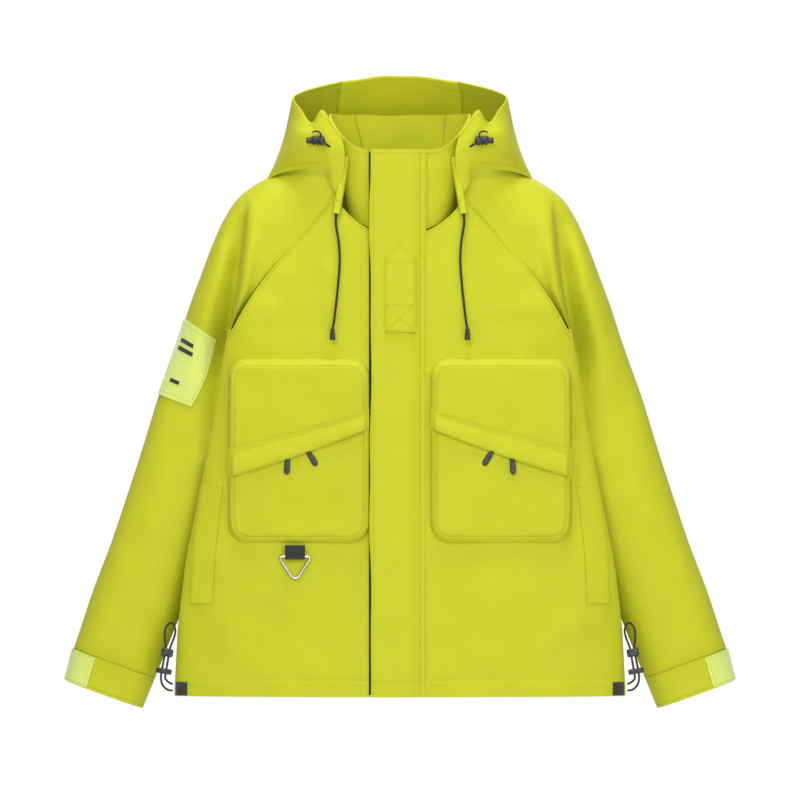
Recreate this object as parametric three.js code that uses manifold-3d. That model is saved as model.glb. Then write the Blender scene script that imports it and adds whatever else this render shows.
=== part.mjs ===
// A hooded ski shell jacket, hung by the loop inside its neck: garment panels, raglan sleeves, hood, pockets,
// zips, cords and trim, each its own closed solid. Millimetres, +Z up, the wearer faces -Y.
// Left and right are the wearer's own: the wearer's right side lies at -X.
import * as THREE from "three";
import { mergeVertices } from "three/addons/utils/BufferGeometryUtils.js";
import Module from "manifold-3d";

const wasm = await Module();
wasm.setup();

// ---------------------------------------------------------------- driving dimensions
const CLEARANCE = 0.5; // between pieces that are sewn or clipped together
const LAYER_GAP = 1.2; // between stacked layers of cloth, which are faceted differently
const SHELL = 2; // thickness of a cloth panel with its lining
const WEB = 1.8; // thickness of a flap, tab or welt

const HEM_HALF = 318; // half width of the body at the hem
const CHEST_HALF = 245; // half width of the body at the armhole
const ARMHOLE_Z = 500; // height of the armhole's lowest front point above the hem
const NECK_FRONT_Z = 648; // height of the neck seam at the front
const COLLAR_TOP_Z = 768; // top of the closed front
const FRONT_HEM_Y = -114; // depth of the front at the hem
const FRONT_TOP_Y = -86; // depth of the front at the collar top
const EDGE_Y = -50; // depth of the fold where the front turns to the side
const MID_Y = 17; // depth of the side seams and of the sleeves
const BACK_DEPTH = 35; // how far the back bulges behind its edge folds

const SHOULDER = [185, 640]; // x and z of the shoulder pivot
const SLEEVE_TILT = THREE.MathUtils.degToRad(20); // sleeve from vertical
const SLEEVE_LENGTH = 681; // from the shoulder pivot to the cuff edge
const SLEEVE_DEPTH = 50; // half depth of the sleeve
const CUFF_LENGTH = 46;
const ELBOW_AT = 330; // from the shoulder pivot
const SHOULDER_RADIUS = 108; // the round end of the raglan shoulder, about the pivot
const ELBOW_NOTCH = THREE.MathUtils.degToRad(33); // relief on each side of the crease of the elbow
const ELBOW_TURN = THREE.MathUtils.degToRad(45); // the forearm bends between forwards and outwards

const ZIP_X = -38; // the front zip runs beside the middle
const ZIP_WIDTH = 11;
const FLAP_LEFT_X = 35; // sewn edge of the storm flap
const FLAP_RIGHT_X = -42.5; // free edge of the storm flap
const FLAP_LIFT = 8; // the flap stands clear of the zip slider

const POCKET_INNER = 43; // chest pocket, from the middle
const POCKET_OUTER = 241;
const POCKET_BOTTOM_Z = 216;
const POCKET_TOP_Z = 474;
const POCKET_CORNER = 22;
const POCKET_INNER_Y = -119; // the pocket's face is flat, and stands further off near the middle
const POCKET_OUTER_Y = -101;
const POCKET_ZIP_SLOPE = 0.32; // the zip climbs towards the middle
const POCKET_ZIP_OUTER_Z = 318; // height of the zip at the pocket's outer edge
const POCKET_FLAP_HEIGHT = 34;
const POCKET_FLAP_LIFT = 5; // the zip flap stands clear of the sliders
const POCKET_ZIP_WIDTH = 8;
const SLIDER = { width: 8, height: 9, depth: 2.6 };
const PULL = { width: 4.5, length: 24, depth: 1.6 };

const CORD_DIAMETER = 3.5;
const CORD_CLEARANCE = 0.9; // around a cord in a hole
const HEM_CORD_DIAMETER = 3;
const HEM_LOCK = { width: 22, height: 8, depth: 9 };
const RING_WIRE = 3.6;
const RING_WIDTH = 41;
const RING_HEIGHT = 30;
const WEBBING_WIDTH = 28;

const HANG_POINT = [0, 58, 757]; // the top of the hang loop, where the garment is held

// ---------------------------------------------------------------- materials
const LOOKS = {
  shell: { color: 0xcbd02f, roughness: 0.75, metalness: 0 },
  lining: { color: 0xc2c82c, roughness: 0.8, metalness: 0 },
  pale: { color: 0xd4e37d, roughness: 0.9, metalness: 0 },
  hardware: { color: 0x2f3733, roughness: 0.5, metalness: 0 },
  webbing: { color: 0x272d24, roughness: 0.85, metalness: 0 },
  nickel: { color: 0xb8b8b4, roughness: 0.3, metalness: 1 },
};
const jacket = new THREE.Group();

function add(name, look, geometry) {
  const mesh = new THREE.Mesh(geometry, new THREE.MeshStandardMaterial(LOOKS[look]));
  mesh.name = name;
  jacket.add(mesh);
  return mesh;
}

// ---------------------------------------------------------------- geometry helpers
const { lerp, clamp, smoothstep } = THREE.MathUtils;
const SIDES = [["left", 1], ["right", -1]];

// Reads a value from [key, value] stations, with straight lines between them.
function station(stations, key) {
  const last = stations.length - 1;
  const k = clamp(stations.findIndex(([at]) => at >= key) - 1, 0, last - 1);
  const index = key >= stations[last][0] ? last - 1 : k;
  const [a, b] = [stations[index], stations[index + 1]];
  return lerp(a[1], b[1], clamp((key - a[0]) / (b[0] - a[0]), 0, 1));
}

function signedVolume(points, faces) {
  let volume = 0;
  for (const [a, b, c] of faces) {
    volume += points[a].dot(new THREE.Vector3().crossVectors(points[b], points[c]));
  }
  return volume / 6;
}

function closedGeometry(points, faces) {
  const turned = signedVolume(points, faces) < 0 ? faces.map(([a, b, c]) => [a, c, b]) : faces;
  const geometry = new THREE.BufferGeometry();
  geometry.setAttribute("position", new THREE.Float32BufferAttribute(points.flatMap((p) => p.toArray()), 3));
  geometry.setIndex(turned.flat());
  return geometry;
}

// A solid between two surfaces given over u and v from 0 to 1. A closed one joins u = 1 to u = 0.
function between(outer, inner, columns, rows, closed = false) {
  const across = closed ? columns : columns + 1;
  const points = [];
  for (const layer of [outer, inner]) {
    for (let j = 0; j <= rows; j += 1) {
      for (let i = 0; i < across; i += 1) points.push(layer(i / columns, j / rows));
    }
  }
  const at = (layer, i, j) => (layer * (rows + 1) + j) * across + (i % across);
  const faces = [];
  const quad = (a, b, c, d) => faces.push([a, b, c], [a, c, d]);
  for (let j = 0; j < rows; j += 1) {
    for (let i = 0; i < columns; i += 1) {
      quad(at(0, i, j), at(0, i + 1, j), at(0, i + 1, j + 1), at(0, i, j + 1));
      quad(at(1, i, j), at(1, i, j + 1), at(1, i + 1, j + 1), at(1, i + 1, j));
    }
  }
  for (let i = 0; i < columns; i += 1) {
    quad(at(0, i, 0), at(1, i, 0), at(1, i + 1, 0), at(0, i + 1, 0));
    quad(at(0, i, rows), at(0, i + 1, rows), at(1, i + 1, rows), at(1, i, rows));
  }
  for (let j = 0; j < rows && !closed; j += 1) {
    quad(at(0, 0, j), at(0, 0, j + 1), at(1, 0, j + 1), at(1, 0, j));
    quad(at(0, columns, j), at(1, columns, j), at(1, columns, j + 1), at(0, columns, j + 1));
  }
  return closedGeometry(points, faces);
}

function normalAt(surface, u, v, facing) {
  const step = 1e-3;
  const [u0, u1] = [Math.max(u - step, 0), Math.min(u + step, 1)];
  const [v0, v1] = [Math.max(v - step, 0), Math.min(v + step, 1)];
  const along = surface(u1, v).sub(surface(u0, v));
  const up = surface(u, v1).sub(surface(u, v0));
  return along.cross(up).normalize().multiplyScalar(facing);
}

// A panel of even thickness behind the surface; facing is 1 or -1 and says which side is outside.
function panel(surface, columns, rows, thickness, facing, closed = false) {
  const inner = (u, v) => surface(u, v).addScaledVector(normalAt(surface, u, v, facing), -thickness);
  return between(surface, inner, columns, rows, closed);
}

function solidOf(geometry) {
  const bare = geometry.index ? geometry.clone() : geometry;
  bare.deleteAttribute("normal");
  bare.deleteAttribute("uv");
  const merged = mergeVertices(bare, 1e-3);
  const mesh = new wasm.Mesh({
    numProp: 3,
    vertProperties: new Float32Array(merged.attributes.position.array),
    triVerts: new Uint32Array(merged.index.array),
  });
  return new wasm.Manifold(mesh);
}

function geometryOf(solid) {
  const mesh = solid.getMesh();
  const geometry = new THREE.BufferGeometry();
  geometry.setAttribute("position", new THREE.BufferAttribute(new Float32Array(mesh.vertProperties), 3));
  geometry.setIndex([...mesh.triVerts]);
  return geometry;
}

function joined(first, ...others) {
  const solids = others.map(solidOf);
  return geometryOf(solids.reduce((sum, next) => sum.add(next), solidOf(first)));
}

function cut(body, ...tools) {
  const solids = tools.map(solidOf);
  return geometryOf(solids.reduce((rest, next) => rest.subtract(next), solidOf(body)));
}

function block(width, depth, height, centre, turn = [0, 0, 0]) {
  const geometry = new THREE.BoxGeometry(width, depth, height);
  geometry.applyMatrix4(new THREE.Matrix4().makeRotationFromEuler(new THREE.Euler(...turn)));
  return geometry.translate(...centre);
}

// A round cord along a smooth curve through the given points.
function cordAlong(points, diameter, steps) {
  const sides = 8;
  const section = new THREE.Shape();
  for (let k = 0; k < sides; k += 1) {
    const angle = (2 * Math.PI * k) / sides;
    const [x, y] = [(Math.cos(angle) * diameter) / 2, (Math.sin(angle) * diameter) / 2];
    if (k === 0) section.moveTo(x, y);
    else section.lineTo(x, y);
  }
  section.closePath();
  const path = new THREE.CatmullRomCurve3(points.map((p) => new THREE.Vector3(...p)));
  return new THREE.ExtrudeGeometry(section, { steps, extrudePath: path, curveSegments: 1 });
}

// A flat plate in the XZ plane, its front face at y = front, extruded backwards.
function plate(outline, holes, thickness, front) {
  const shape = new THREE.Shape(outline.map(([x, z]) => new THREE.Vector2(x, z)));
  for (const hole of holes) shape.holes.push(new THREE.Path(hole.map(([x, z]) => new THREE.Vector2(x, z))));
  const geometry = new THREE.ExtrudeGeometry(shape, { depth: thickness, bevelEnabled: false });
  return geometry.rotateX(Math.PI / 2).translate(0, front + thickness, 0);
}

function ringPoints(x, z, radius, count) {
  return Array.from({ length: count }, (_, k) => {
    const angle = (2 * Math.PI * k) / count;
    return [x + radius * Math.cos(angle), z + radius * Math.sin(angle)];
  });
}

// Mirrors a list of points to the wearer's side: side is 1 for left, -1 for right.
const onSide = (side, points) => points.map(([x, y, z]) => [side * x, y, z]);

// A smooth surface through a net of control points, rows from v = 0 to v = 1.
function netSurface(net) {
  const spline = (points) => new THREE.CatmullRomCurve3(points);
  const rows = net.map((row) => spline(row.map((p) => new THREE.Vector3(...p))));
  return (u, v) => spline(rows.map((row) => row.getPoint(u))).getPoint(v);
}

// ---------------------------------------------------------------- the body's surfaces
const WIDTH_PROFILE = [[0, 0], [0.2, 0.07], [0.38, 0.22], [0.6, 0.52], [0.8, 0.77], [1, 1]];
const NECK_HALF = 128; // half width of the surface that carries the neck corner
const NECK_CORNER_Z = 702;
const UPPER_PROFILE = [[0, 0], [0.25, 0.08], [0.48, 0.25], [0.8, 0.66], [1, 1]];

function halfWidth(z) {
  if (z <= ARMHOLE_Z) return lerp(HEM_HALF, CHEST_HALF, station(WIDTH_PROFILE, z / ARMHOLE_Z));
  const share = (z - ARMHOLE_Z) / (NECK_CORNER_Z - ARMHOLE_Z);
  return lerp(CHEST_HALF, NECK_HALF, station(UPPER_PROFILE, share));
}

const frontLineY = (z) => lerp(FRONT_HEM_Y, FRONT_TOP_Y, z / COLLAR_TOP_Z);
const edgeY = (z) => EDGE_Y + 37 * smoothstep(z, ARMHOLE_Z, NECK_CORNER_Z);
const ROUNDNESS = 2.4;
const bulge = (x, z) => Math.sqrt(Math.max(0, 1 - Math.abs(x / halfWidth(z)) ** ROUNDNESS));
const frontY = (x, z) => edgeY(z) - (edgeY(z) - frontLineY(z)) * bulge(x, z);
const backY = (x, z) => 2 * MID_Y - edgeY(z) + BACK_DEPTH * bulge(x, z);

function frontPoint(x, z, lift = 0) {
  const step = 0.5;
  const slopeX = (frontY(x + step, z) - frontY(x - step, z)) / (2 * step);
  const slopeZ = (frontY(x, z + step) - frontY(x, z - step)) / (2 * step);
  const normal = new THREE.Vector3(slopeX, -1, slopeZ).normalize();
  return new THREE.Vector3(x, frontY(x, z), z).addScaledVector(normal, lift);
}

// The raglan seam and the neck seam, from the front, as x and z.
const raglanSeam = (v) => [
  station([[0, CHEST_HALF - 1], [0.28, 217], [0.52, 182], [0.8, 126], [1, 93]], v),
  station([[0, ARMHOLE_Z], [0.28, 549], [0.52, 598], [0.8, 661], [1, NECK_CORNER_Z]], v),
];
const NECK_CORNER_X = 87;
const NECK_RISE = NECK_CORNER_Z - 8 - NECK_FRONT_Z;
const BACK_NECK_Z = 735;

// The outer edge of a front or back panel: the side fold up to the armhole, then the raglan seam.
const ARMHOLE_SHARE = 0.68;
function panelEdge(v) {
  if (v > ARMHOLE_SHARE) return raglanSeam((v - ARMHOLE_SHARE) / (1 - ARMHOLE_SHARE));
  const z = (ARMHOLE_Z * v) / ARMHOLE_SHARE;
  return [halfWidth(z) - 0.5, z];
}

const NECK_SHARE = 0.84;
function frontInnerEdge(v, startX) {
  if (v <= NECK_SHARE) return [startX, (NECK_FRONT_Z * v) / NECK_SHARE];
  const x = lerp(startX, NECK_CORNER_X, (v - NECK_SHARE) / (1 - NECK_SHARE));
  return [x, NECK_FRONT_Z + NECK_RISE * Math.max(0, x / NECK_CORNER_X) ** 2.5];
}

const outward = (u) => Math.sin((u * Math.PI) / 2);

function frontPanel(side) {
  const seam = side * ZIP_X + ZIP_WIDTH / 2 + CLEARANCE;
  const surface = (u, v) => {
    const [outX, outZ] = panelEdge(v);
    const [inX, inZ] = frontInnerEdge(v, seam);
    const share = outward(u);
    return frontPoint(side * lerp(inX, outX, share), lerp(inZ, outZ, share));
  };
  return panel(surface, 10, 12, SHELL, side > 0 ? 1 : -1);
}

// ---------------------------------------------------------------- sleeves
const axisDown = [Math.sin(SLEEVE_TILT), -Math.cos(SLEEVE_TILT)];
const axisOut = [Math.cos(SLEEVE_TILT), Math.sin(SLEEVE_TILT)];
const OUTER_HALF = [[0, 74], [124, 75], [264, 72], [406, 66.5], [548, 65], [655, 62.5], [SLEEVE_LENGTH, 58.5]];
const INNER_HALF = [[0, 88], [124, 88], [264, 78], [406, 68], [548, 62], [655, 59], [SLEEVE_LENGTH, 57]];
const SEAM_GAP = 3.2; // between sleeve pieces, which meet end to end

// A point of the sleeve's skin: angle 0 is its outer edge and a quarter turn is its front.
function sleevePoint(side, angle, along, shrink = 0) {
  const half = Math.cos(angle) >= 0 ? station(OUTER_HALF, along) : station(INNER_HALF, along);
  const w = (half - shrink) * Math.cos(angle);
  const x = SHOULDER[0] + along * axisDown[0] + w * axisOut[0];
  const z = SHOULDER[1] + along * axisDown[1] + w * axisOut[1];
  return new THREE.Vector3(side * x, MID_Y - (SLEEVE_DEPTH - shrink) * Math.sin(angle), z);
}

const SLEEVE_SIDES = 18;

// How far the sleeve's end is cut back, so that it clears its neighbour on the inside of the bend.
function elbowNotch(angle) {
  const outwards = station(OUTER_HALF, ELBOW_AT) * Math.cos(angle) * Math.sin(ELBOW_TURN);
  const forwards = SLEEVE_DEPTH * Math.sin(angle) * Math.cos(ELBOW_TURN);
  return Math.max(0, outwards + forwards) * Math.tan(ELBOW_NOTCH);
}

function sleeveTube(side, startAt, endAt, rows) {
  const layer = (shrink) => (u, v) => {
    const angle = 2 * Math.PI * u;
    return sleevePoint(side, angle, lerp(startAt(angle), endAt(angle), v), shrink);
  };
  return between(layer(0), layer(SHELL), SLEEVE_SIDES, rows, true);
}

function shoulderEnd(angle, radius) {
  const half = Math.cos(angle) >= 0 ? OUTER_HALF[1][1] : INNER_HALF[1][1];
  return Math.sqrt(radius ** 2 - (half * Math.cos(angle)) ** 2);
}

const upperSleeve = (side) => sleeveTube(
  side,
  (angle) => shoulderEnd(angle, SHOULDER_RADIUS + SEAM_GAP),
  (angle) => ELBOW_AT - SEAM_GAP / 2 - elbowNotch(angle),
  3,
);
const lowerSleeve = (side) => sleeveTube(
  side,
  (angle) => ELBOW_AT + SEAM_GAP / 2 + elbowNotch(angle),
  () => SLEEVE_LENGTH - CUFF_LENGTH - CLEARANCE,
  3,
);
const cuff = (side) => sleeveTube(side, () => SLEEVE_LENGTH - CUFF_LENGTH, () => SLEEVE_LENGTH, 1);

const CUFF_TAB = { from: -0.25, to: 0.88, length: 44.5 }; // from and to are turns about the sleeve, in radians
function cuffTab(side) {
  const { from, to, length } = CUFF_TAB;
  const start = SLEEVE_LENGTH - length;
  const layer = (lift) => (u, v) => sleevePoint(side, lerp(from, to, u), start + length * v, -lift);
  return between(layer(LAYER_GAP + WEB), layer(LAYER_GAP), 8, 2);
}

// The widest that the side of the body can be beside the sleeve.
function sleeveInnerX(z) {
  const along = clamp((SHOULDER[1] - z) / Math.cos(SLEEVE_TILT) - 30, 0, SLEEVE_LENGTH);
  const half = station(INNER_HALF, along);
  const reach = (SHOULDER[1] - z - half * axisOut[1]) / -axisDown[1];
  return SHOULDER[0] + reach * axisDown[0] - station(INNER_HALF, clamp(reach, 0, SLEEVE_LENGTH)) * axisOut[0];
}

// ---------------------------------------------------------------- back, sides and shoulders
const SIDE_TOP_Z = 470;
const SLEEVE_CLEARANCE = 10;
const SIDE_DIP = 6; // the least that the side folds in

function sidePanel(side) {
  const surface = (u, v) => {
    const z = lerp(0, SIDE_TOP_Z, v);
    const width = halfWidth(z) - 0.5;
    const dip = Math.max(SIDE_DIP, width - (sleeveInnerX(z) - SLEEVE_CLEARANCE));
    const turn = Math.PI * u;
    const reach = MID_Y - EDGE_Y - CLEARANCE * (1 - u);
    return new THREE.Vector3(side * (width - dip * Math.sin(turn)), MID_Y - reach * Math.cos(turn), z);
  };
  return panel(surface, 8, 8, SHELL, side > 0 ? 1 : -1);
}

function backPanel() {
  const surface = (u, v) => {
    const [edgeX, edgeZ] = panelEdge(v);
    const share = 2 * u - 1;
    const x = Math.sign(share) * outward(Math.abs(share)) * edgeX;
    const neck = lerp(BACK_NECK_Z, edgeZ, Math.min(1, Math.abs(x) / edgeX) ** 2);
    const middle = lerp(ARMHOLE_Z, neck, (v - ARMHOLE_SHARE) / (1 - ARMHOLE_SHARE));
    const z = v > ARMHOLE_SHARE ? lerp(middle, edgeZ, Math.abs(share) ** 3) : edgeZ;
    return new THREE.Vector3(x, backY(x, Math.min(z, NECK_CORNER_Z)), z);
  };
  return joined(panel(surface, 16, 12, SHELL, -1), sidePanel(1), sidePanel(-1));
}

const TOP_LINE = [[95, 5, 727], [200, 10, 716], [283, 15, 590]]; // along the top of the shoulder
const CAP_GAP = 1.5;

// The raglan shoulder: an arch from the front seam over the top to the back seam.
function shoulderCap(side) {
  const endAlong = (angle) => shoulderEnd(angle, SHOULDER_RADIUS);
  const arch = (v, turn) => {
    const [x, z] = raglanSeam(lerp(0.99, 0.3, v));
    const front = new THREE.Vector3(x + CAP_GAP, frontY(x, z), z + CAP_GAP);
    const back = new THREE.Vector3(x + CAP_GAP, backY(x, z), z + CAP_GAP);
    const middle = front.clone().add(back).multiplyScalar(0.5);
    const [a, b, c] = TOP_LINE;
    const weights = [2 * (v - 0.5) * (v - 1), -4 * v * (v - 1), 2 * v * (v - 0.5)];
    const top = new THREE.Vector3();
    [a, b, c].forEach((point, k) => top.addScaledVector(new THREE.Vector3(...point), weights[k]));
    const half = front.clone().sub(back).multiplyScalar(0.5);
    const rise = top.sub(middle).multiplyScalar(Math.sin(turn));
    return middle.clone().addScaledVector(half, Math.cos(turn)).add(rise);
  };
  const surface = (u, v) => {
    const turn = Math.PI * u;
    const point = arch(v, turn);
    const ring = sleevePoint(1, Math.PI / 2 - turn, endAlong(Math.PI / 2 - turn));
    point.lerp(ring, smoothstep(v, 0.55, 1));
    return point.multiply(new THREE.Vector3(side, 1, 1));
  };
  return panel(surface, 9, 6, SHELL, side > 0 ? 1 : -1);
}

// ---------------------------------------------------------------- collar and hood
const COLLAR = {
  baseHalf: 79, topHalf: 100, backY: 68, thickness: 4, baseMiddleZ: 695, baseSlope: 44, backRise: 52,
};
const collarBaseZ = (turn) => COLLAR.baseMiddleZ - COLLAR.baseSlope * Math.cos(turn);

// The top edge is level beside the zip, and rises round the sides to the back of the neck.
function collarTopZ(turn) {
  const fromFront = Math.min(turn, 2 * Math.PI - turn);
  return COLLAR_TOP_Z + COLLAR.backRise * smoothstep(fromFront, 0.45, 1.7);
}

function collarPoint(turn, v, shrink) {
  const z = lerp(collarBaseZ(turn), collarTopZ(turn), v);
  const half = lerp(COLLAR.baseHalf, COLLAR.topHalf, v) - shrink;
  const front = frontLineY(z) + shrink;
  const middle = (front + COLLAR.backY - shrink) / 2;
  return new THREE.Vector3(half * Math.sin(turn), middle + (front - middle) * Math.cos(turn), z);
}

function collar() {
  const layer = (shrink) => (u, v) => {
    const half = lerp(COLLAR.baseHalf, COLLAR.topHalf, v) - shrink;
    const start = Math.asin((ZIP_X + ZIP_WIDTH / 2 + CLEARANCE) / half);
    const end = 2 * Math.PI + Math.asin((ZIP_X - ZIP_WIDTH / 2 - CLEARANCE) / half);
    return collarPoint(lerp(start, end, u), v, shrink);
  };
  return between(layer(0), layer(COLLAR.thickness), 26, 2);
}

const HOOD_SHELL = 2.5;
const HOOD_SIDE_NET = [
  [[98, -68, 754], [136, -60, 744], [187, -5, 733], [152, 66, 744], [97, 98, 752]],
  [[86, -80, 784], [122, -74, 787], [180, -4, 790], [150, 70, 802], [94, 112, 806]],
  [[110, -68, 826], [124, -62, 823], [153, -34, 838], [124, 28, 853], [86, 60, 859]],
];
const HOOD_BACK_NET = [
  [[-95, 99, 752], [0, 118, 752], [95, 99, 752]],
  [[-92, 113, 806], [0, 134, 812], [92, 113, 806]],
  [[-84, 61, 859], [0, 72, 868], [84, 61, 859]],
];

function hoodSide(side) {
  const surface = netSurface(HOOD_SIDE_NET.map((row) => onSide(side, row)));
  return panel(surface, 12, 6, HOOD_SHELL, side > 0 ? 1 : -1);
}

// The tunnel that leads the hood cord down beside the collar.
const TUNNEL_PATH = [[79, -69, 743], [84.25, -77.5, 709], [89.5, -86, 675]];
const TUNNEL = { half: 5, wall: 1.8 };

function cordTunnel(side) {
  const curve = new THREE.CatmullRomCurve3(onSide(side, TUNNEL_PATH).map((p) => new THREE.Vector3(...p)));
  const layer = (radius) => (u, v) => {
    const along = curve.getTangent(v);
    const across = new THREE.Vector3(1, 0, 0).addScaledVector(along, -along.x).normalize();
    const out = new THREE.Vector3().crossVectors(along, across);
    const angle = 2 * Math.PI * u;
    const point = curve.getPoint(v).addScaledVector(across, radius * Math.cos(angle));
    return point.addScaledVector(out, radius * Math.sin(angle));
  };
  const bore = CORD_DIAMETER / 2 + CORD_CLEARANCE;
  return between(layer(bore + TUNNEL.wall), layer(bore), 10, 5, true);
}

const HOOD_CORD_PATH = [
  [104, -88, 775], [92, -80, 767], [80, -70.5, 757], [79, -69, 743], [84.25, -77.5, 709], [89.5, -86, 675],
  [89.5, -90, 660], [86, -95, 638], [84.5, -97, 610], [87.5, -99.5, 570], [92, -102.5, 530], [94.5, -104, 516],
];

const HOOD_LOCK = { radius: 6.5, length: 17, wall: 1.6, at: [114.5, -88.5, 780] };
const BUTTON = { radius: 4.4, proud: 8.5, travel: 3.5 };

// A spring lock: a barrel whose open outer end takes the button.
function hoodLock(side) {
  const { radius, length, wall, at } = HOOD_LOCK;
  const bore = BUTTON.radius + CLEARANCE;
  const profile = [[0, 0], [radius, 0], [radius, length], [bore, length], [bore, wall], [0, wall]];
  return new THREE.LatheGeometry(profile.map(([r, h]) => new THREE.Vector2(r, h)), 14)
    .rotateZ((-side * Math.PI) / 2)
    .translate(side * (at[0] - length / 2), at[1], at[2]);
}

function hoodLockButton(side) {
  const { length, wall, at } = HOOD_LOCK;
  const start = at[0] - length / 2 + wall + BUTTON.travel + CLEARANCE;
  const height = length + BUTTON.proud - (wall + BUTTON.travel + CLEARANCE);
  return new THREE.CylinderGeometry(BUTTON.radius, BUTTON.radius, height, 12)
    .rotateZ((-side * Math.PI) / 2)
    .translate(side * (start + height / 2), at[1], at[2]);
}

const CORD_END = { top: 4.2, bottom: 3.4, length: 16 };
function cordEnd(side) {
  const [x, y, z] = HOOD_CORD_PATH[HOOD_CORD_PATH.length - 1];
  return new THREE.CylinderGeometry(CORD_END.top, CORD_END.bottom, CORD_END.length, 10)
    .rotateX(Math.PI / 2)
    .translate(side * x, y, z - CORD_END.length / 2 - CLEARANCE);
}

const HANG_LOOP = { half: 17, height: 13, width: 6 };
function hangLoop() {
  const [x, y, z] = HANG_POINT;
  const loop = (depth) => (u, v) => {
    const angle = Math.PI * u;
    const across = (HANG_LOOP.half - depth) * Math.cos(angle);
    const up = (HANG_LOOP.height - depth) * Math.sin(angle);
    return new THREE.Vector3(x + across, y + HANG_LOOP.width * (v - 0.5), z - HANG_LOOP.height + up);
  };
  return between(loop(0), loop(WEB), 12, 1);
}

// ---------------------------------------------------------------- front closure
// A strip on the front between two heights, following the straight line of the front.
function frontStrip(left, right, bottom, top, liftLow, liftHigh, columns = 1) {
  const layer = (lift) => (u, v) => {
    const [x, z] = [lerp(left, right, u), lerp(bottom, top, v)];
    return new THREE.Vector3(x, frontLineY(z) - lift, z);
  };
  return between(layer(liftHigh), layer(liftLow), columns, 1);
}

const FRONT_LEAN = -Math.atan2(FRONT_TOP_Y - FRONT_HEM_Y, COLLAR_TOP_Z);
const ZIP_BOTTOM_Z = 14;
const ZIP_TOP_Z = COLLAR_TOP_Z - 4;
const ZIP_DEPTH = [-1.5, 0.8]; // behind and before the line of the front
const FRONT_SLIDER_Z = 756;
const FRONT_SLIDER = { width: 9, height: 11, depth: 3, lift: 1.2 };
const FRONT_PULL = { width: 4.6, height: 30, depth: 1.8, lift: 5.2, beside: 2.3, below: 14 };
const frontZip = () => frontStrip(
  ZIP_X - ZIP_WIDTH / 2, ZIP_X + ZIP_WIDTH / 2, ZIP_BOTTOM_Z, ZIP_TOP_Z, ...ZIP_DEPTH,
);
const stormFlap = () => frontStrip(FLAP_RIGHT_X, FLAP_LEFT_X, 0, COLLAR_TOP_Z, FLAP_LIFT, FLAP_LIFT + WEB, 4);

// A small block that lies along the line of the front.
function onFrontLine(x, z, { width, height, depth, lift }) {
  return block(width, depth, height, [x, frontLineY(z) - lift - depth / 2, z], [FRONT_LEAN, 0, 0]);
}

const frontSlider = () => onFrontLine(ZIP_X, FRONT_SLIDER_Z, FRONT_SLIDER);
const frontPull = () => onFrontLine(ZIP_X - FRONT_PULL.beside, FRONT_SLIDER_Z - FRONT_PULL.below, FRONT_PULL);

const CHEST_TAB = { tip: 640, shoulder: 617.5, half: 22, bottom: 511, gap: 0.8 };
function chestTab() {
  const { tip, shoulder, half, bottom, gap } = CHEST_TAB;
  const outline = [[0, tip], [-half, shoulder], [-half, bottom], [half, bottom], [half, shoulder]];
  const lift = FLAP_LIFT + WEB + gap;
  return plate(outline, [], WEB, -WEB)
    .translate(0, 0, -NECK_FRONT_Z)
    .rotateX(FRONT_LEAN)
    .translate(0, frontLineY(NECK_FRONT_Z) - lift, NECK_FRONT_Z);
}

// ---------------------------------------------------------------- chest pockets
const pocketFaceY = (x) => lerp(
  POCKET_INNER_Y, POCKET_OUTER_Y, (Math.abs(x) - POCKET_INNER) / (POCKET_OUTER - POCKET_INNER),
);
const pocketZipZ = (x) => POCKET_ZIP_OUTER_Z + POCKET_ZIP_SLOPE * (POCKET_OUTER - Math.abs(x));

// The pocket's lowest and highest points at x: its corners are round.
function pocketHeights(x) {
  const fromEdge = Math.min(x - POCKET_INNER, POCKET_OUTER - x);
  const intoCorner = Math.max(0, POCKET_CORNER - fromEdge);
  const drop = POCKET_CORNER - Math.sqrt(Math.max(0, POCKET_CORNER ** 2 - intoCorner ** 2));
  return [POCKET_BOTTOM_Z + drop, POCKET_TOP_Z - drop];
}

function chestPocket(side) {
  const column = (u) => lerp(POCKET_INNER, POCKET_OUTER, 0.5 - 0.5 * Math.cos(Math.PI * u));
  const face = (u, v) => {
    const x = column(u);
    return new THREE.Vector3(side * x, pocketFaceY(x), lerp(...pocketHeights(x), v));
  };
  const back = (u, v) => {
    const x = column(u);
    return frontPoint(side * x, lerp(...pocketHeights(x), v), LAYER_GAP);
  };
  return between(face, back, 12, 4);
}

// A strip on the pocket's face along the zip, from below to above its line.
function pocketStrip(side, inner, outer, below, above, liftLow, liftHigh) {
  const layer = (lift) => (u, v) => {
    const x = lerp(inner, outer, u);
    return new THREE.Vector3(side * x, pocketFaceY(x) - lift, pocketZipZ(x) + lerp(below, above, v));
  };
  return between(layer(liftHigh), layer(liftLow), 1, 1);
}

const ZIP_END = 8; // the zip stops short of the pocket's edges
const POCKET_ZIP_DEPTH = 1.3;
const FLAP_END = 2; // the flap stops short of the pocket's edges
const FLAP_ABOVE_ZIP = 1; // the flap's free edge is this far above the middle of the zip
const pocketZip = (side) => pocketStrip(
  side, POCKET_INNER + ZIP_END, POCKET_OUTER - ZIP_END, -POCKET_ZIP_WIDTH / 2, POCKET_ZIP_WIDTH / 2,
  CLEARANCE, CLEARANCE + POCKET_ZIP_DEPTH,
);
const pocketFlap = (side) => pocketStrip(
  side, POCKET_INNER + FLAP_END, POCKET_OUTER - FLAP_END, FLAP_ABOVE_ZIP, POCKET_FLAP_HEIGHT,
  POCKET_FLAP_LIFT, POCKET_FLAP_LIFT + WEB,
);
const POCKET_YAW = Math.atan2(POCKET_OUTER_Y - POCKET_INNER_Y, POCKET_OUTER - POCKET_INNER);
const POCKET_ROLL = Math.atan(POCKET_ZIP_SLOPE);
const PULL_PLACES = [["inner", 131], ["outer", 157]]; // name and x of each slider
const SLIDER_LIFT = 2.1; // above the pocket's face
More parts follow.
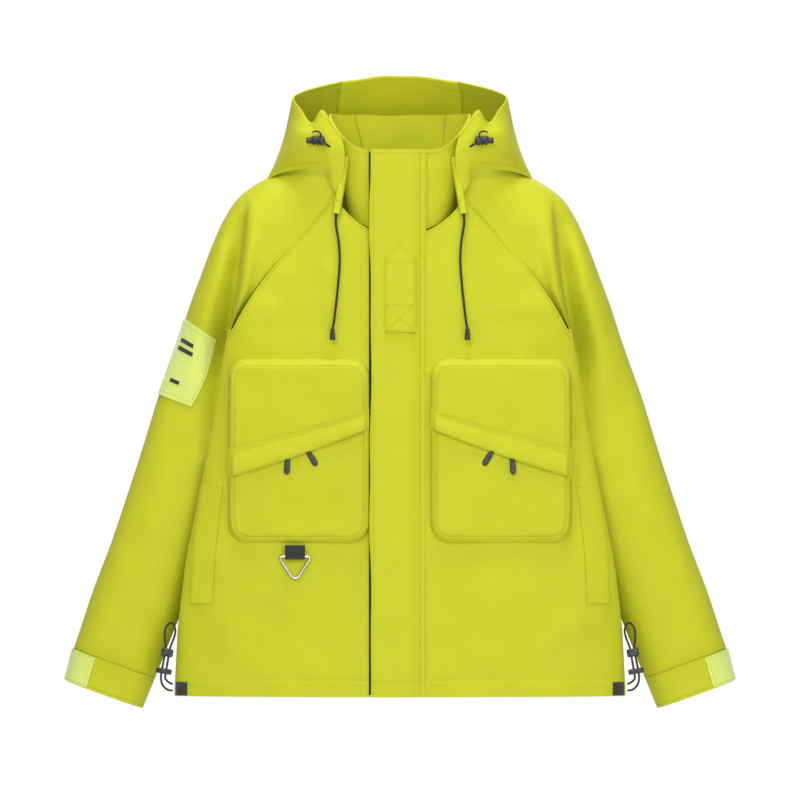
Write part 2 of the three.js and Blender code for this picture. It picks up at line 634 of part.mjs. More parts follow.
const SLIDER_DROP = 2; // below the middle of the zip
const PULL_LIFT = 2.4;

// Turns a small piece to lie along the zip on the pocket's face.
function alongPocketZip(side, x, lift, drop, size) {
  const geometry = new THREE.BoxGeometry(size.width, size.depth, size.height);
  return geometry
    .rotateZ(side * POCKET_YAW)
    .translate(side * x, pocketFaceY(x) - lift - size.depth / 2, pocketZipZ(x) - drop);
}

const pocketSlider = (side, x) => alongPocketZip(side, x, SLIDER_LIFT, SLIDER_DROP, SLIDER);
const pocketPull = (side, x) => alongPocketZip(
  side, x, PULL_LIFT, SLIDER_DROP + SLIDER.height / 2 + LAYER_GAP + PULL.length / 2,
  { ...PULL, height: PULL.length },
);

// ---------------------------------------------------------------- hand pockets, ring and badge
const WELT = { bottom: 128, top: 296, width: 34, fromSide: 3 };
function handPocketWelt(side) {
  const layer = (lift) => (u, v) => {
    const z = lerp(WELT.bottom, WELT.top, v);
    const outer = halfWidth(z) - WELT.fromSide;
    return frontPoint(side * (outer - lerp(WELT.width, 0, u)), z, lift);
  };
  return between(layer(LAYER_GAP + WEB), layer(LAYER_GAP), 6, 6);
}

const RING_X = 147; // middle of the ring's webbing
const RING_PIVOT_Z = 196;
const WEBBING = { outer: 4.4, wall: 1.3, top: 212 };

const ringPivotY = () => frontY(RING_X, RING_PIVOT_Z) - WEBBING.outer - LAYER_GAP - 1;

// The webbing is folded over the ring's bar: a flat tail with a round eye at its lower end.
function ringWebbing() {
  const { outer, wall, top } = WEBBING;
  const shape = new THREE.Shape();
  shape.moveTo(outer, 0);
  shape.absarc(0, 0, outer, 0, -Math.PI, true);
  shape.lineTo(-outer + 2.6, top - RING_PIVOT_Z);
  shape.lineTo(outer, top - RING_PIVOT_Z);
  shape.closePath();
  shape.holes.push(new THREE.Path().absarc(0, 0, outer - wall, 0, 2 * Math.PI));
  return new THREE.ExtrudeGeometry(shape, { depth: WEBBING_WIDTH, bevelEnabled: false, curveSegments: 7 })
    .translate(0, 0, -WEBBING_WIDTH / 2)
    .rotateY(Math.PI / 2)
    .rotateX(Math.PI / 2)
    .translate(-RING_X, ringPivotY(), RING_PIVOT_Z);
}

// A triangle of wire with its bar through the webbing.
function triangleRing() {
  const half = RING_WIDTH / 2;
  const outline = (grow) => [
    [-half - grow, grow], [half + grow, grow], [5 + grow * 0.5, -RING_HEIGHT + 4 - grow],
    [-3 - grow * 0.5, -RING_HEIGHT + 4 - grow],
  ];
  const wire = RING_WIRE / 2;
  return plate(outline(wire), [outline(-wire).reverse()], RING_WIRE, -wire)
    .translate(-RING_X, ringPivotY(), RING_PIVOT_Z);
}

// A flat field of loop fastener on the wearer's right sleeve, for a badge.
const BADGE = { from: -0.3, to: 1.24, height: 111, at: 200.5 }; // from and to are turns about the sleeve
function sleevePatch() {
  const layer = (lift) => (u, v) => {
    const along = BADGE.at + BADGE.height * (v - 0.5);
    return sleevePoint(-1, lerp(BADGE.from, BADGE.to, u), along, -lift);
  };
  return between(layer(LAYER_GAP + WEB), layer(LAYER_GAP), 9, 2);
}

// ---------------------------------------------------------------- hem cords
// Each hem cord leaves its tab, passes the lock and the sewn keeper, loops, and runs back beside itself.
const STRAND_STEP = 6; // between the two strands, which run straight from z = 28 to z = 66
const STRAND_LEAN = [-6.5, 38];
const HEM_CORD_Y = -62;
const strandX = (z) => HEM_HALF + 12 + ((z - 28) * STRAND_LEAN[0]) / STRAND_LEAN[1];
const HEM_PATH = [
  [HEM_HALF + 1.4, -60.5, 16.5], [HEM_HALF + 6, -61, 18.5], [HEM_HALF + 11, HEM_CORD_Y, 23],
  [strandX(28), HEM_CORD_Y, 28], [strandX(47), HEM_CORD_Y, 47], [strandX(66), HEM_CORD_Y, 66],
  [HEM_HALF - 1, HEM_CORD_Y, 84], [HEM_HALF - 2, HEM_CORD_Y, 94], [HEM_HALF + 2.6, HEM_CORD_Y, 103],
  [HEM_HALF + 10, HEM_CORD_Y, 98], [HEM_HALF + 12.8, HEM_CORD_Y, 86],
  [strandX(66) + STRAND_STEP, HEM_CORD_Y, 66], [strandX(47) + STRAND_STEP, HEM_CORD_Y, 47],
  [strandX(28) + STRAND_STEP, HEM_CORD_Y, 28], [HEM_HALF + 16, HEM_CORD_Y, 16],
  [HEM_HALF + 9, -61, 9], [HEM_HALF + 1.4, -60.5, 7.5],
];
const HEM_LOCK_Z = 35;
const HEM_KEEPER = { width: 17, height: 12, depth: 8 };
const HEM_KEEPER_Z = 61;

// A block around both strands, with a slot that they run through.
function aroundStrands(side, size, z) {
  const lean = -Math.atan2(STRAND_LEAN[0], STRAND_LEAN[1]);
  const centre = [side * (strandX(z) + STRAND_STEP / 2), HEM_CORD_Y, z];
  const slot = HEM_CORD_DIAMETER + 2 * CORD_CLEARANCE;
  const turn = [0, -side * lean, 0];
  return cut(
    block(size.width, size.depth, size.height, centre, turn),
    block(STRAND_STEP + slot, slot, size.height + 8, centre, turn),
  );
}
const hemLock = (side) => aroundStrands(side, HEM_LOCK, HEM_LOCK_Z);
const hemKeeper = (side) => aroundStrands(side, HEM_KEEPER, HEM_KEEPER_Z);

const HEM_TAB = {
  inner: HEM_HALF - 19, outer: HEM_HALF - 2.5, bottom: 1, top: 20, eyelet: 2.2, eyeletShift: 3, lifts: [0.8, 3],
};
function hemTab(side) {
  const { inner, outer, bottom, top, eyelet, eyeletShift, lifts } = HEM_TAB;
  const layer = (lift) => (u, v) => frontPoint(side * lerp(inner, outer, u), lerp(bottom, top, v), lift);
  const [x, z] = [(inner + outer) / 2 + eyeletShift, (bottom + top) / 2];
  const middle = frontPoint(side * x, z, lifts[0]);
  const aim = frontPoint(side * x, z, lifts[0] + 1).sub(middle);
  const hole = new THREE.CylinderGeometry(eyelet, eyelet, 12, 10)
    .applyQuaternion(new THREE.Quaternion().setFromUnitVectors(new THREE.Vector3(0, 1, 0), aim))
    .translate(...middle.toArray());
  return cut(between(layer(lifts[1]), layer(lifts[0]), 3, 1), hole);
}

// ---------------------------------------------------------------- assembly
add("back_panel", "shell", backPanel());
add("collar", "shell", collar());
add("hood_centre_panel", "lining", panel(netSurface(HOOD_BACK_NET), 10, 6, HOOD_SHELL, -1));
add("hang_loop", "webbing", hangLoop());
add("front_zip", "hardware", frontZip());
add("front_zip_slider", "hardware", frontSlider());
add("front_zip_pull", "hardware", frontPull());
add("storm_flap", "shell", stormFlap());
add("chest_tab", "shell", chestTab());
add("ring_webbing", "webbing", ringWebbing());
add("triangle_ring", "nickel", triangleRing());
add("sleeve_patch", "pale", sleevePatch());
for (const [name, side] of SIDES) {
  add(`front_panel_${name}`, "shell", frontPanel(side));
  add(`shoulder_${name}`, "shell", shoulderCap(side));
  add(`upper_sleeve_${name}`, "shell", upperSleeve(side));
  add(`lower_sleeve_${name}`, "shell", lowerSleeve(side));
  add(`cuff_${name}`, "shell", cuff(side));
  add(`cuff_tab_${name}`, "pale", cuffTab(side));
  add(`hood_panel_${name}`, "shell", hoodSide(side));
  add(`cord_tunnel_${name}`, "shell", cordTunnel(side));
  add(`hood_cord_${name}`, "webbing", cordAlong(onSide(side, HOOD_CORD_PATH), CORD_DIAMETER, 28));
  add(`cord_end_${name}`, "hardware", cordEnd(side));
  add(`hood_lock_${name}`, "hardware", hoodLock(side));
  add(`hood_lock_button_${name}`, "hardware", hoodLockButton(side));
  add(`chest_pocket_${name}`, "shell", chestPocket(side));
  add(`pocket_flap_${name}`, "shell", pocketFlap(side));
  add(`pocket_zip_${name}`, "hardware", pocketZip(side));
  for (const [place, x] of PULL_PLACES) {
    add(`pocket_slider_${name}_${place}`, "hardware", pocketSlider(side, x));
    add(`pocket_pull_${name}_${place}`, "hardware", pocketPull(side, x));
  }
  add(`hand_pocket_welt_${name}`, "shell", handPocketWelt(side));
  add(`hem_tab_${name}`, "hardware", hemTab(side));
  add(`hem_keeper_${name}`, "hardware", hemKeeper(side));
  add(`hem_lock_${name}`, "hardware", hemLock(side));
  add(`hem_cord_${name}`, "webbing", cordAlong(onSide(side, HEM_PATH), HEM_CORD_DIAMETER, 24));
}

jacket.position.set(...HANG_POINT.map((value) => -value));
export default jacket;
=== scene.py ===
"""Looks of the hooded ski shell jacket.

Shapes are in the garment's millimetres, with the hem at z = 0 and the front at -y.
place() turns them to row metres.
"""
import math

import bmesh
import bpy
import numpy as np
from mathutils import Matrix, Vector


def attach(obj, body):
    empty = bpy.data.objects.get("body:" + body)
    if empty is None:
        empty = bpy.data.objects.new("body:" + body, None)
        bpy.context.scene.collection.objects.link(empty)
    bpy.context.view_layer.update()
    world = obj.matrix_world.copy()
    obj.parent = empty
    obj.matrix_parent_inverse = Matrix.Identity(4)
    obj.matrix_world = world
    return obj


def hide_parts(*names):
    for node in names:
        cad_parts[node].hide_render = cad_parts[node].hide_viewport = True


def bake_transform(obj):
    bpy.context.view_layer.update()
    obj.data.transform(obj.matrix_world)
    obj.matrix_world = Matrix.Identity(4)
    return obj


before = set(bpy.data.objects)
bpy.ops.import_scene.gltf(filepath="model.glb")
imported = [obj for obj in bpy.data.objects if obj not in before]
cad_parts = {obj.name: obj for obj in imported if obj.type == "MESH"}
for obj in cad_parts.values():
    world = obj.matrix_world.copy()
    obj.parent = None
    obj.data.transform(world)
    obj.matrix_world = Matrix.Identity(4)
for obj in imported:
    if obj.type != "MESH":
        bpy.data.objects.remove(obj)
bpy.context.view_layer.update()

SIDES = (("left", 1), ("right", -1))
HANG_POINT = np.array([0.0, 58.0, 757.0])  # the row's origin, in the garment's own millimetres


def place(points):
    """Garment millimetres to row metres."""
    return (np.asarray(points, float) - HANG_POINT) / 1000


# ------------------------------------------------------------------ camera and cords first
FRAME_HEIGHT = 1.12  # metres seen at the jacket's front
FRAME_MIDDLE = (0, -110, 416)
CAMERA_DISTANCE = 12.0


def make_camera():
    data = bpy.data.cameras.new("camera")
    camera = bpy.data.objects.new("camera", data)
    bpy.context.scene.collection.objects.link(camera)
    middle = Vector(place(FRAME_MIDDLE))
    camera.location = middle - Vector((0, CAMERA_DISTANCE, 0))
    camera.rotation_euler = (math.pi / 2, 0, 0)
    data.sensor_width = 36
    data.lens = data.sensor_width * CAMERA_DISTANCE / FRAME_HEIGHT
    data.clip_end = 100
    bpy.context.scene.camera = camera


HOOD_CORD_WIDTH = 3.5
HEM_CORD_WIDTH = 3.0
HOOD_CORD_PATH = [
    (104, -88, 775), (92, -80, 767), (80, -70.5, 757), (79, -69, 743), (84.25, -77.5, 709), (89.5, -86, 675),
    (89.5, -90, 660), (86, -95, 638), (84.5, -97, 610), (87.5, -99.5, 570), (92, -102.5, 530), (94.5, -104, 516),
]
STRAND_STEP = 6
HEM_CORD_Y = -62


def strand_x(z):
    return 330 - (z - 28) * 6.5 / 38


HEM_PATH = [
    (319.4, -60.5, 16.5), (324, -61, 18.5), (329, HEM_CORD_Y, 23), (strand_x(28), HEM_CORD_Y, 28),
    (strand_x(47), HEM_CORD_Y, 47), (strand_x(66), HEM_CORD_Y, 66), (317, HEM_CORD_Y, 84),
    (316, HEM_CORD_Y, 94), (320.6, HEM_CORD_Y, 103), (328, HEM_CORD_Y, 98), (330.8, HEM_CORD_Y, 86),
    (strand_x(66) + STRAND_STEP, HEM_CORD_Y, 66), (strand_x(47) + STRAND_STEP, HEM_CORD_Y, 47),
    (strand_x(28) + STRAND_STEP, HEM_CORD_Y, 28), (334, HEM_CORD_Y, 16), (327, -61, 9), (319.4, -60.5, 7.5),
]


def catmull(points, steps):
    """A smooth curve through points, with the given steps between neighbours."""
    p = np.asarray(points, float)
    p = np.vstack([2 * p[0] - p[1], p, 2 * p[-1] - p[-2]])
    t = np.linspace(0, 1, steps, endpoint=False)[:, None]
    parts = []
    for a, b, c, d in zip(p[:-3], p[1:-2], p[2:-1], p[3:]):
        square, cube = 2 * a - 5 * b + 4 * c - d, 3 * b - a - 3 * c + d
        parts.append(0.5 * (2 * b + (c - a) * t + square * t**2 + cube * t**3))
    return np.vstack(parts + [p[-2][None]])


def new_object(name, mesh):
    obj = bpy.data.objects.new(name, mesh)
    bpy.context.scene.collection.objects.link(obj)
    return obj


def mesh_object(name, vertices, faces):
    mesh = bpy.data.meshes.new(name)
    mesh.from_pydata(place(vertices).tolist(), [], [tuple(map(int, f)) for f in faces])
    mesh.update()
    mesh.validate()
    obj = new_object(name, mesh)
    smooth_faces(mesh)
    return obj


SHARP_ANGLE = math.radians(50)


def smooth_faces(mesh):
    mesh.shade_smooth()
    mesh.set_sharp_from_angle(angle=SHARP_ANGLE)


def grid_faces(rows, columns, closed=False, offset=0):
    """Quads of a grid of vertices, row by row. A closed one joins its last column to the first."""
    wide = columns if closed else columns - 1
    j, i = np.meshgrid(np.arange(rows - 1), np.arange(wide), indexing="ij")
    a = j * columns + i
    b = j * columns + (i + 1) % columns
    return (np.stack([a, b, b + columns, a + columns], -1).reshape(-1, 4) + offset).tolist()


def frames_along(path):
    """A tangent, a side and an up vector at each point of a path."""
    tangent = np.gradient(path, axis=0)
    tangent /= np.linalg.norm(tangent, axis=1)[:, None]
    side = np.cross(tangent, np.array([0.05, -1.0, 0.02]))
    side /= np.linalg.norm(side, axis=1)[:, None]
    return tangent, side, np.cross(side, tangent)


def tube(name, path, radius, sides=12, cap=True):
    """A round tube along a path; radius is one number or one for each point."""
    path = np.asarray(path, float)
    _, side, up = frames_along(path)
    radii = np.broadcast_to(np.asarray(radius, float), (len(path),))
    angle = np.linspace(0, 2 * math.pi, sides, endpoint=False)
    ring = np.cos(angle)[None, :, None] * side[:, None] + np.sin(angle)[None, :, None] * up[:, None]
    vertices = (path[:, None] + ring * radii[:, None, None]).reshape(-1, 3)
    faces = grid_faces(len(path), sides, closed=True)
    if cap:
        faces += [list(range(sides))[::-1], [len(vertices) - sides + k for k in range(sides)]]
    return mesh_object(name, vertices, faces)


BRAID_PITCH = 2.4


def braid_tube(name, path, diameter):
    """A cord whose skin is lightly ridged by its braid."""
    fine = catmull(path, 14)
    run = np.concatenate([[0], np.cumsum(np.linalg.norm(np.diff(fine, axis=0), axis=1))])
    radius = diameter / 2 * (0.985 + 0.015 * np.cos(run * 2 * math.pi / BRAID_PITCH))
    return tube(name, fine, radius, 14), fine


def make_cords():
    made = {}
    for name, side in SIDES:
        mirror = np.array([side, 1, 1])
        hood, hood_line = braid_tube(f"hood_cord_{name}_braid", HOOD_CORD_PATH * mirror, HOOD_CORD_WIDTH)
        hem, hem_line = braid_tube(f"hem_cord_{name}_braid", HEM_PATH * mirror, HEM_CORD_WIDTH)
        made[name] = (hood, hood_line, hem, hem_line)
        for piece, node in ((hood, "hood_cord"), (hem, "hem_cord")):
            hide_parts(f"{node}_{name}")
    return made


make_camera()
CORDS = make_cords()


# ------------------------------------------------------------------ materials
SHELL_YELLOW = (0.585, 0.615, 0.017, 1)
SHELL_DEEP = (0.56, 0.588, 0.014, 1)
PALE_GREEN = (0.80, 0.92, 0.20, 1)


class Nodes:
    """Short calls for building one material's nodes."""

    def __init__(self, name):
        self.material = bpy.data.materials.new(name)
        self.material.use_nodes = True
        self.tree = self.material.node_tree
        self.tree.nodes.clear()
        self.out = self.tree.nodes.new("ShaderNodeOutputMaterial")
        self.shader = self.tree.nodes.new("ShaderNodeBsdfPrincipled")
        self.link(self.shader.outputs[0], self.out.inputs[0])
        self.place_source = self.tree.nodes.new("ShaderNodeTexCoord").outputs["Object"]

    def link(self, a, b):
        self.tree.links.new(a, b)

    def set(self, **values):
        for name, value in values.items():
            self.shader.inputs[name.replace("_", " ")].default_value = value
        return self

    def mapped(self, scale):
        node = self.tree.nodes.new("ShaderNodeMapping")
        node.inputs["Scale"].default_value = scale
        self.link(self.place_source, node.inputs["Vector"])
        return node.outputs[0]

    def noise(self, scale, detail=2.0, vector=None):
        node = self.tree.nodes.new("ShaderNodeTexNoise")
        node.inputs["Scale"].default_value = scale
        node.inputs["Detail"].default_value = detail
        self.link(vector or self.place_source, node.inputs["Vector"])
        return node.outputs["Fac"]

    def wave(self, scale, direction, distortion):
        node = self.tree.nodes.new("ShaderNodeTexWave")
        node.bands_direction = direction
        node.inputs["Scale"].default_value = scale
        node.inputs["Distortion"].default_value = distortion
        self.link(self.place_source, node.inputs["Vector"])
        return node.outputs["Fac"]

    def math(self, operation, a, b):
        node = self.tree.nodes.new("ShaderNodeMath")
        node.operation = operation
        for socket, value in zip(node.inputs, (a, b)):
            if isinstance(value, (int, float)):
                socket.default_value = value
            else:
                self.link(value, socket)
        return node.outputs[0]

    def spread(self, value, low, high):
        """A value from 0 to 1 spread from low to high."""
        node = self.tree.nodes.new("ShaderNodeMapRange")
        node.inputs["To Min"].default_value = low
        node.inputs["To Max"].default_value = high
        self.link(value, node.inputs["Value"])
        return node.outputs[0]

    def colour(self, value, first, second, low=0.35, high=0.65):
        ramp = self.tree.nodes.new("ShaderNodeValToRGB")
        ramp.color_ramp.elements[0].position = low
        ramp.color_ramp.elements[0].color = first
        ramp.color_ramp.elements[1].position = high
        ramp.color_ramp.elements[1].color = second
        self.link(value, ramp.inputs[0])
        self.link(ramp.outputs[0], self.shader.inputs["Base Color"])
        return self

    def roughness(self, value, low, high):
        self.link(self.spread(value, low, high), self.shader.inputs["Roughness"])
        return self

    def bump(self, *layers):
        """Layers of (height, strength, distance in metres), one on the other."""
        last = None
        for height, strength, distance in layers:
            node = self.tree.nodes.new("ShaderNodeBump")
            node.inputs["Strength"].default_value = strength
            node.inputs["Distance"].default_value = distance
            self.link(height, node.inputs["Height"])
            if last is not None:
                self.link(last, node.inputs["Normal"])
            last = node.outputs[0]
        self.link(last, self.shader.inputs["Normal"])
        return self


def woven(name, first, second, sheen, roughness, thread=1100.0):
    """Plain weave: warp and weft ribs, with slubs and soft mottling in colour and gloss."""
    n = Nodes(name)
    warp = n.wave(thread, "X", 0.6)
    weft = n.wave(thread, "Z", 0.6)
    weave = n.math("MULTIPLY", warp, weft)
    slub = n.noise(900, 2, n.mapped((0.12, 1, 1)))
    mottle = n.noise(26, 4)
    tone = n.math("ADD", n.math("MULTIPLY", mottle, 0.72), n.math("MULTIPLY", slub, 0.28))
    n.colour(tone, second, first)
    n.roughness(mottle, roughness - 0.06, roughness + 0.06)
    n.bump((weave, 0.25, 0.0002), (slub, 0.15, 0.0003), (n.noise(45, 3), 0.06, 0.0012))
    n.set(Sheen_Weight=sheen, Sheen_Roughness=0.5, Specular_IOR_Level=0.25)
    return n.material


def loop_fastener(name, base, dark):
    """Brushed loop pile, as on a hook-and-loop field."""
    n = Nodes(name)
    fuzz = n.noise(1500, 4)
    curl = n.noise(420, 3)
    n.colour(n.math("ADD", n.math("MULTIPLY", fuzz, 0.5), n.math("MULTIPLY", curl, 0.5)), dark, base)
    n.bump((fuzz, 0.5, 0.0006), (curl, 0.4, 0.0008))
    n.set(Roughness=0.95, Sheen_Weight=0.5, Sheen_Roughness=0.6, Specular_IOR_Level=0.15)
    return n.material


def moulded(name, base, worn, roughness, grain=700.0):
    """Moulded rubber or plastic, with a fine grain and lighter rubbed patches."""
    n = Nodes(name)
    rub = n.noise(160, 5)
    n.colour(rub, base, worn, 0.4, 0.8)
    n.roughness(n.noise(300, 3), roughness - 0.1, roughness + 0.1)
    n.bump((n.noise(grain, 2), 0.2, 0.0002))
    n.set(Specular_IOR_Level=0.5)
    return n.material


def ribbed(name, base, worn, ribs):
    """Webbing or braid with ribs across it."""
    n = Nodes(name)
    rib = n.wave(ribs, "Z", 0.4)
    fuzz = n.noise(1800, 3)
    n.colour(n.math("ADD", n.math("MULTIPLY", rib, 0.6), n.math("MULTIPLY", fuzz, 0.4)), base, worn)
    n.bump((rib, 0.7, 0.0005), (fuzz, 0.3, 0.0003))
    n.set(Roughness=0.8, Sheen_Weight=0.3, Specular_IOR_Level=0.3)
    return n.material


def nickel(name):
    n = Nodes(name)
    smear = n.noise(140, 4)
    n.colour(smear, (0.55, 0.54, 0.5, 1), (0.78, 0.77, 0.74, 1))
    n.roughness(smear, 0.16, 0.34)
    n.bump((n.noise(900, 2), 0.08, 0.0001))
    n.set(Metallic=1.0)
    return n.material


MATERIALS = {
    "shell": woven("shell_fabric", SHELL_YELLOW, SHELL_DEEP, 0.05, 0.62),
    # the lining is the shell's yellow painted lighter: painted light that makes up for the shade inside the hood
    "lining": woven("lining_fabric", (0.74, 0.755, 0.026, 1), (0.71, 0.73, 0.022, 1), 0.05, 0.6),
    "pale": loop_fastener("pale_loop", PALE_GREEN, (0.66, 0.79, 0.14, 1)),
    "pale_edge": woven("pale_edge", (0.62, 0.70, 0.14, 1), (0.52, 0.60, 0.1, 1), 0.2, 0.7),
    "thread": woven("topstitch_thread", (0.50, 0.53, 0.02, 1), (0.40, 0.43, 0.012, 1), 0.2, 0.55, 3000.0),
    "black": moulded("black_trim", (0.012, 0.016, 0.014, 1), (0.06, 0.07, 0.065, 1), 0.42),
    "rubber": moulded("rubber_pull", (0.02, 0.027, 0.024, 1), (0.07, 0.085, 0.078, 1), 0.5, 1100.0),
    "webbing": ribbed("black_webbing", (0.008, 0.011, 0.008, 1), (0.05, 0.06, 0.045, 1), 420.0),
    "cord": ribbed("cord_braid", (0.006, 0.008, 0.007, 1), (0.035, 0.04, 0.036, 1), 380.0),
    "zip": ribbed("zip_coil", (0.012, 0.014, 0.01, 1), (0.06, 0.065, 0.05, 1), 330.0),
    "nickel": nickel("nickel_wire"),
}


def finish_piece(obj, look, body, *nodes):
    """Gives a piece its material, slot and body, and the CAD nodes that it stands for."""
    obj.data.materials.clear()
    obj.data.materials.append(MATERIALS[look])
    if nodes:
        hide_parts(*nodes)
    if body:
        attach(obj, body)
    return obj


def thicken(obj, thickness):
    """Turns a sheet into cloth of that thickness in millimetres, and applies it."""
    modifier = obj.modifiers.new("thickness", "SOLIDIFY")
    modifier.thickness = thickness / 1000
    modifier.offset = -1
    modifier.use_even_offset = True
    modifier.use_quality_normals = True
    apply_modifiers(obj)
    return obj


def apply_modifiers(obj):
    depsgraph = bpy.context.evaluated_depsgraph_get()
    mesh = bpy.data.meshes.new_from_object(obj.evaluated_get(depsgraph))
    obj.modifiers.clear()
    old = obj.data
    obj.data = mesh
    bpy.data.meshes.remove(old)
    smooth_faces(mesh)


# ------------------------------------------------------------------ the garment's own surfaces
HEM_HALF = 318
HEM_SEAM_Z = 24
CHEST_HALF = 245
ARMHOLE_Z = 500
NECK_FRONT_Z = 648
NECK_CORNER_Z = 702
NECK_HALF = 128
COLLAR_TOP_Z = 768
EDGE_Y = -50
MID_Y = 17
FRONT_BOTTOM_Y = -114
FRONT_TOP_Y = -86
BACK_DEPTH = 35
ZIP_X = -38


def ease(t):
    t = np.clip(t, 0, 1)
    return t * t * (3 - 2 * t)


def mix(a, b, t):
    return a + (b - a) * t


def station(stations, key):
    """Reads a value from (key, value) stations: straight pieces with rounded corners."""
    keys, values = np.array(stations, float).T
    span = keys[-1] - keys[0]
    soft = 0.03 * span
    key = np.asarray(key, float)
    return sum(np.interp(key + shift * soft, keys, values) for shift in (-1, -0.5, 0, 0.5, 1)) / 5


WIDTH_PROFILE = [(0, 0), (0.2, 0.07), (0.38, 0.22), (0.6, 0.52), (0.8, 0.77), (1, 1)]
UPPER_PROFILE = [(0, 0), (0.25, 0.08), (0.48, 0.25), (0.8, 0.66), (1, 1)]


def half_width(z):
    z = np.asarray(z, float)
    low = mix(HEM_HALF, CHEST_HALF, station(WIDTH_PROFILE, z / ARMHOLE_Z))
    high = mix(CHEST_HALF, NECK_HALF, station(UPPER_PROFILE, (z - ARMHOLE_Z) / (NECK_CORNER_Z - ARMHOLE_Z)))
    return np.where(z <= ARMHOLE_Z, low, high)


def front_line_y(z):
    return mix(FRONT_BOTTOM_Y, FRONT_TOP_Y, np.asarray(z, float) / COLLAR_TOP_Z)


def edge_y(z):
    return EDGE_Y + 37 * ease((np.asarray(z, float) - ARMHOLE_Z) / (NECK_CORNER_Z - ARMHOLE_Z))


def bulge(x, z):
    return np.sqrt(np.clip(1 - (np.abs(x) / half_width(z)) ** 2.4, 0, 1))


def ripples(points, seed, wavelength, stretch=(1, 1, 1), count=9):
    """Smooth random waves, about 1 high, from a fixed seed."""
    rng = np.random.default_rng(seed)
    total = 0
    for _ in range(count):
        direction = rng.normal(size=3) * stretch
        direction /= np.linalg.norm(direction)
        turns = 2 * math.pi / (wavelength * rng.uniform(0.65, 1.5))
        total = total + np.sin(points @ direction * turns + rng.uniform(0, 2 * math.pi))
    return total / math.sqrt(count)


def crease(x, z, start, end, width, height):
    """A soft ridge (or a fold, below zero) along a line from start to end, fading at both ends."""
    (x0, z0), (x1, z1) = start, end
    run = np.array([x1 - x0, z1 - z0], float)
    length = np.hypot(*run)
    t = ((x - x0) * run[0] + (z - z0) * run[1]) / length**2
    away = ((x - x0) * run[1] - (z - z0) * run[0]) / length
    fade = ease(t * 3.5) * ease((1 - t) * 3.5)
    return height * np.exp(-((away / width) ** 2)) * fade


# the soft folds that hang from the neck, armholes and pockets: side, start, end, width and height
FRONT_FOLDS = [
    (-1, (-112, 668), (-92, 480), 16, 1.8), (-1, (-70, 640), (-62, 470), 14, -1.3),
    (-1, (-240, 500), (-170, 560), 16, 2.0), (-1, (-246, 450), (-215, 340), 12, 2.2),
    (-1, (-262, 240), (-230, 20), 20, 2.2), (-1, (-120, 190), (-140, 10), 24, 1.6),
    (-1, (-290, 120), (-200, 90), 16, 1.4), (-1, (-60, 210), (-70, 20), 18, -1.4),
    (1, (110, 670), (98, 490), 16, 1.6), (1, (240, 505), (165, 565), 17, 2.1),
    (1, (244, 455), (222, 340), 12, 2.0), (1, (270, 250), (236, 30), 22, 2.2),
    (1, (140, 190), (120, 20), 24, 1.7), (1, (70, 205), (66, 30), 16, -1.3),
    (1, (285, 130), (190, 60), 18, 1.8), (1, (60, 640), (70, 480), 14, 1.2),
]
SEAM_WIDTH = 2.2


def front_skin(x, z):
    """Depth of the front cloth, folds included."""
    x, z = np.broadcast_arrays(np.asarray(x, float), np.asarray(z, float))
    y = edge_y(z) - (edge_y(z) - front_line_y(z)) * bulge(x, z)
    points = np.stack([x, 0 * x, z], -1)
    calm = ease((np.abs(x) - 40) / 50)
    lift = calm * (1.5 * ripples(points, 11, 210, (1, 0, 0.45)) + 0.55 * ripples(points, 12, 62, (1, 0, 0.7)))
    for side, start, end, width, height in FRONT_FOLDS:
        lift = lift + np.where(np.sign(x) == side, crease(x, z, start, end, width, height), 0)
    lift = lift - 0.9 * np.exp(-(((z - HEM_SEAM_Z) / 1.8) ** 2)) + 0.35 * np.exp(-(((z - 18) / 5) ** 2))
    near_edge = ease((half_width(z) - np.abs(x)) / 30)
    return y - lift * near_edge


def back_skin(x, z):
    y = 2 * MID_Y - edge_y(z) + BACK_DEPTH * bulge(x, z)
    points = np.stack(np.broadcast_arrays(x, 0 * x, z), -1).astype(float)
    lift = 2.0 * ripples(points, 21, 230, (1, 0, 0.4)) + 0.6 * ripples(points, 22, 70, (1, 0, 0.6))
    near_edge = ease((half_width(z) - np.abs(x)) / 30)
    return y + lift * near_edge


RAGLAN_X = [(0, CHEST_HALF - 1), (0.28, 217), (0.52, 182), (0.8, 126), (1, 93)]
RAGLAN_Z = [(0, ARMHOLE_Z), (0.28, 549), (0.52, 598), (0.8, 661), (1, NECK_CORNER_Z)]
ARMHOLE_SHARE = 0.68


def raglan_seam(v):
    keys = np.array([k for k, _ in RAGLAN_X])
    line = np.array([[x, z] for (_, x), (_, z) in zip(RAGLAN_X, RAGLAN_Z)])
    fine = catmull(line, 16)
    at = np.interp(np.asarray(v, float), keys, np.linspace(0, 1, len(keys))) * (len(fine) - 1)
    index = np.arange(len(fine))
    return np.interp(at, index, fine[:, 0]), np.interp(at, index, fine[:, 1])


def panel_edge(v):
    v = np.asarray(v, float)
    seam_x, seam_z = raglan_seam(np.clip((v - ARMHOLE_SHARE) / (1 - ARMHOLE_SHARE), 0, 1))
    side_z = ARMHOLE_Z * v / ARMHOLE_SHARE
    low = v <= ARMHOLE_SHARE
    return np.where(low, half_width(side_z) - 0.5, seam_x), np.where(low, side_z, seam_z)


NECK_SHARE = 0.84
NECK_CORNER_X = 87


def neck_height(x):
    return NECK_FRONT_Z + (NECK_CORNER_Z - 8 - NECK_FRONT_Z) * np.clip(x / NECK_CORNER_X, 0, 2) ** 2.5


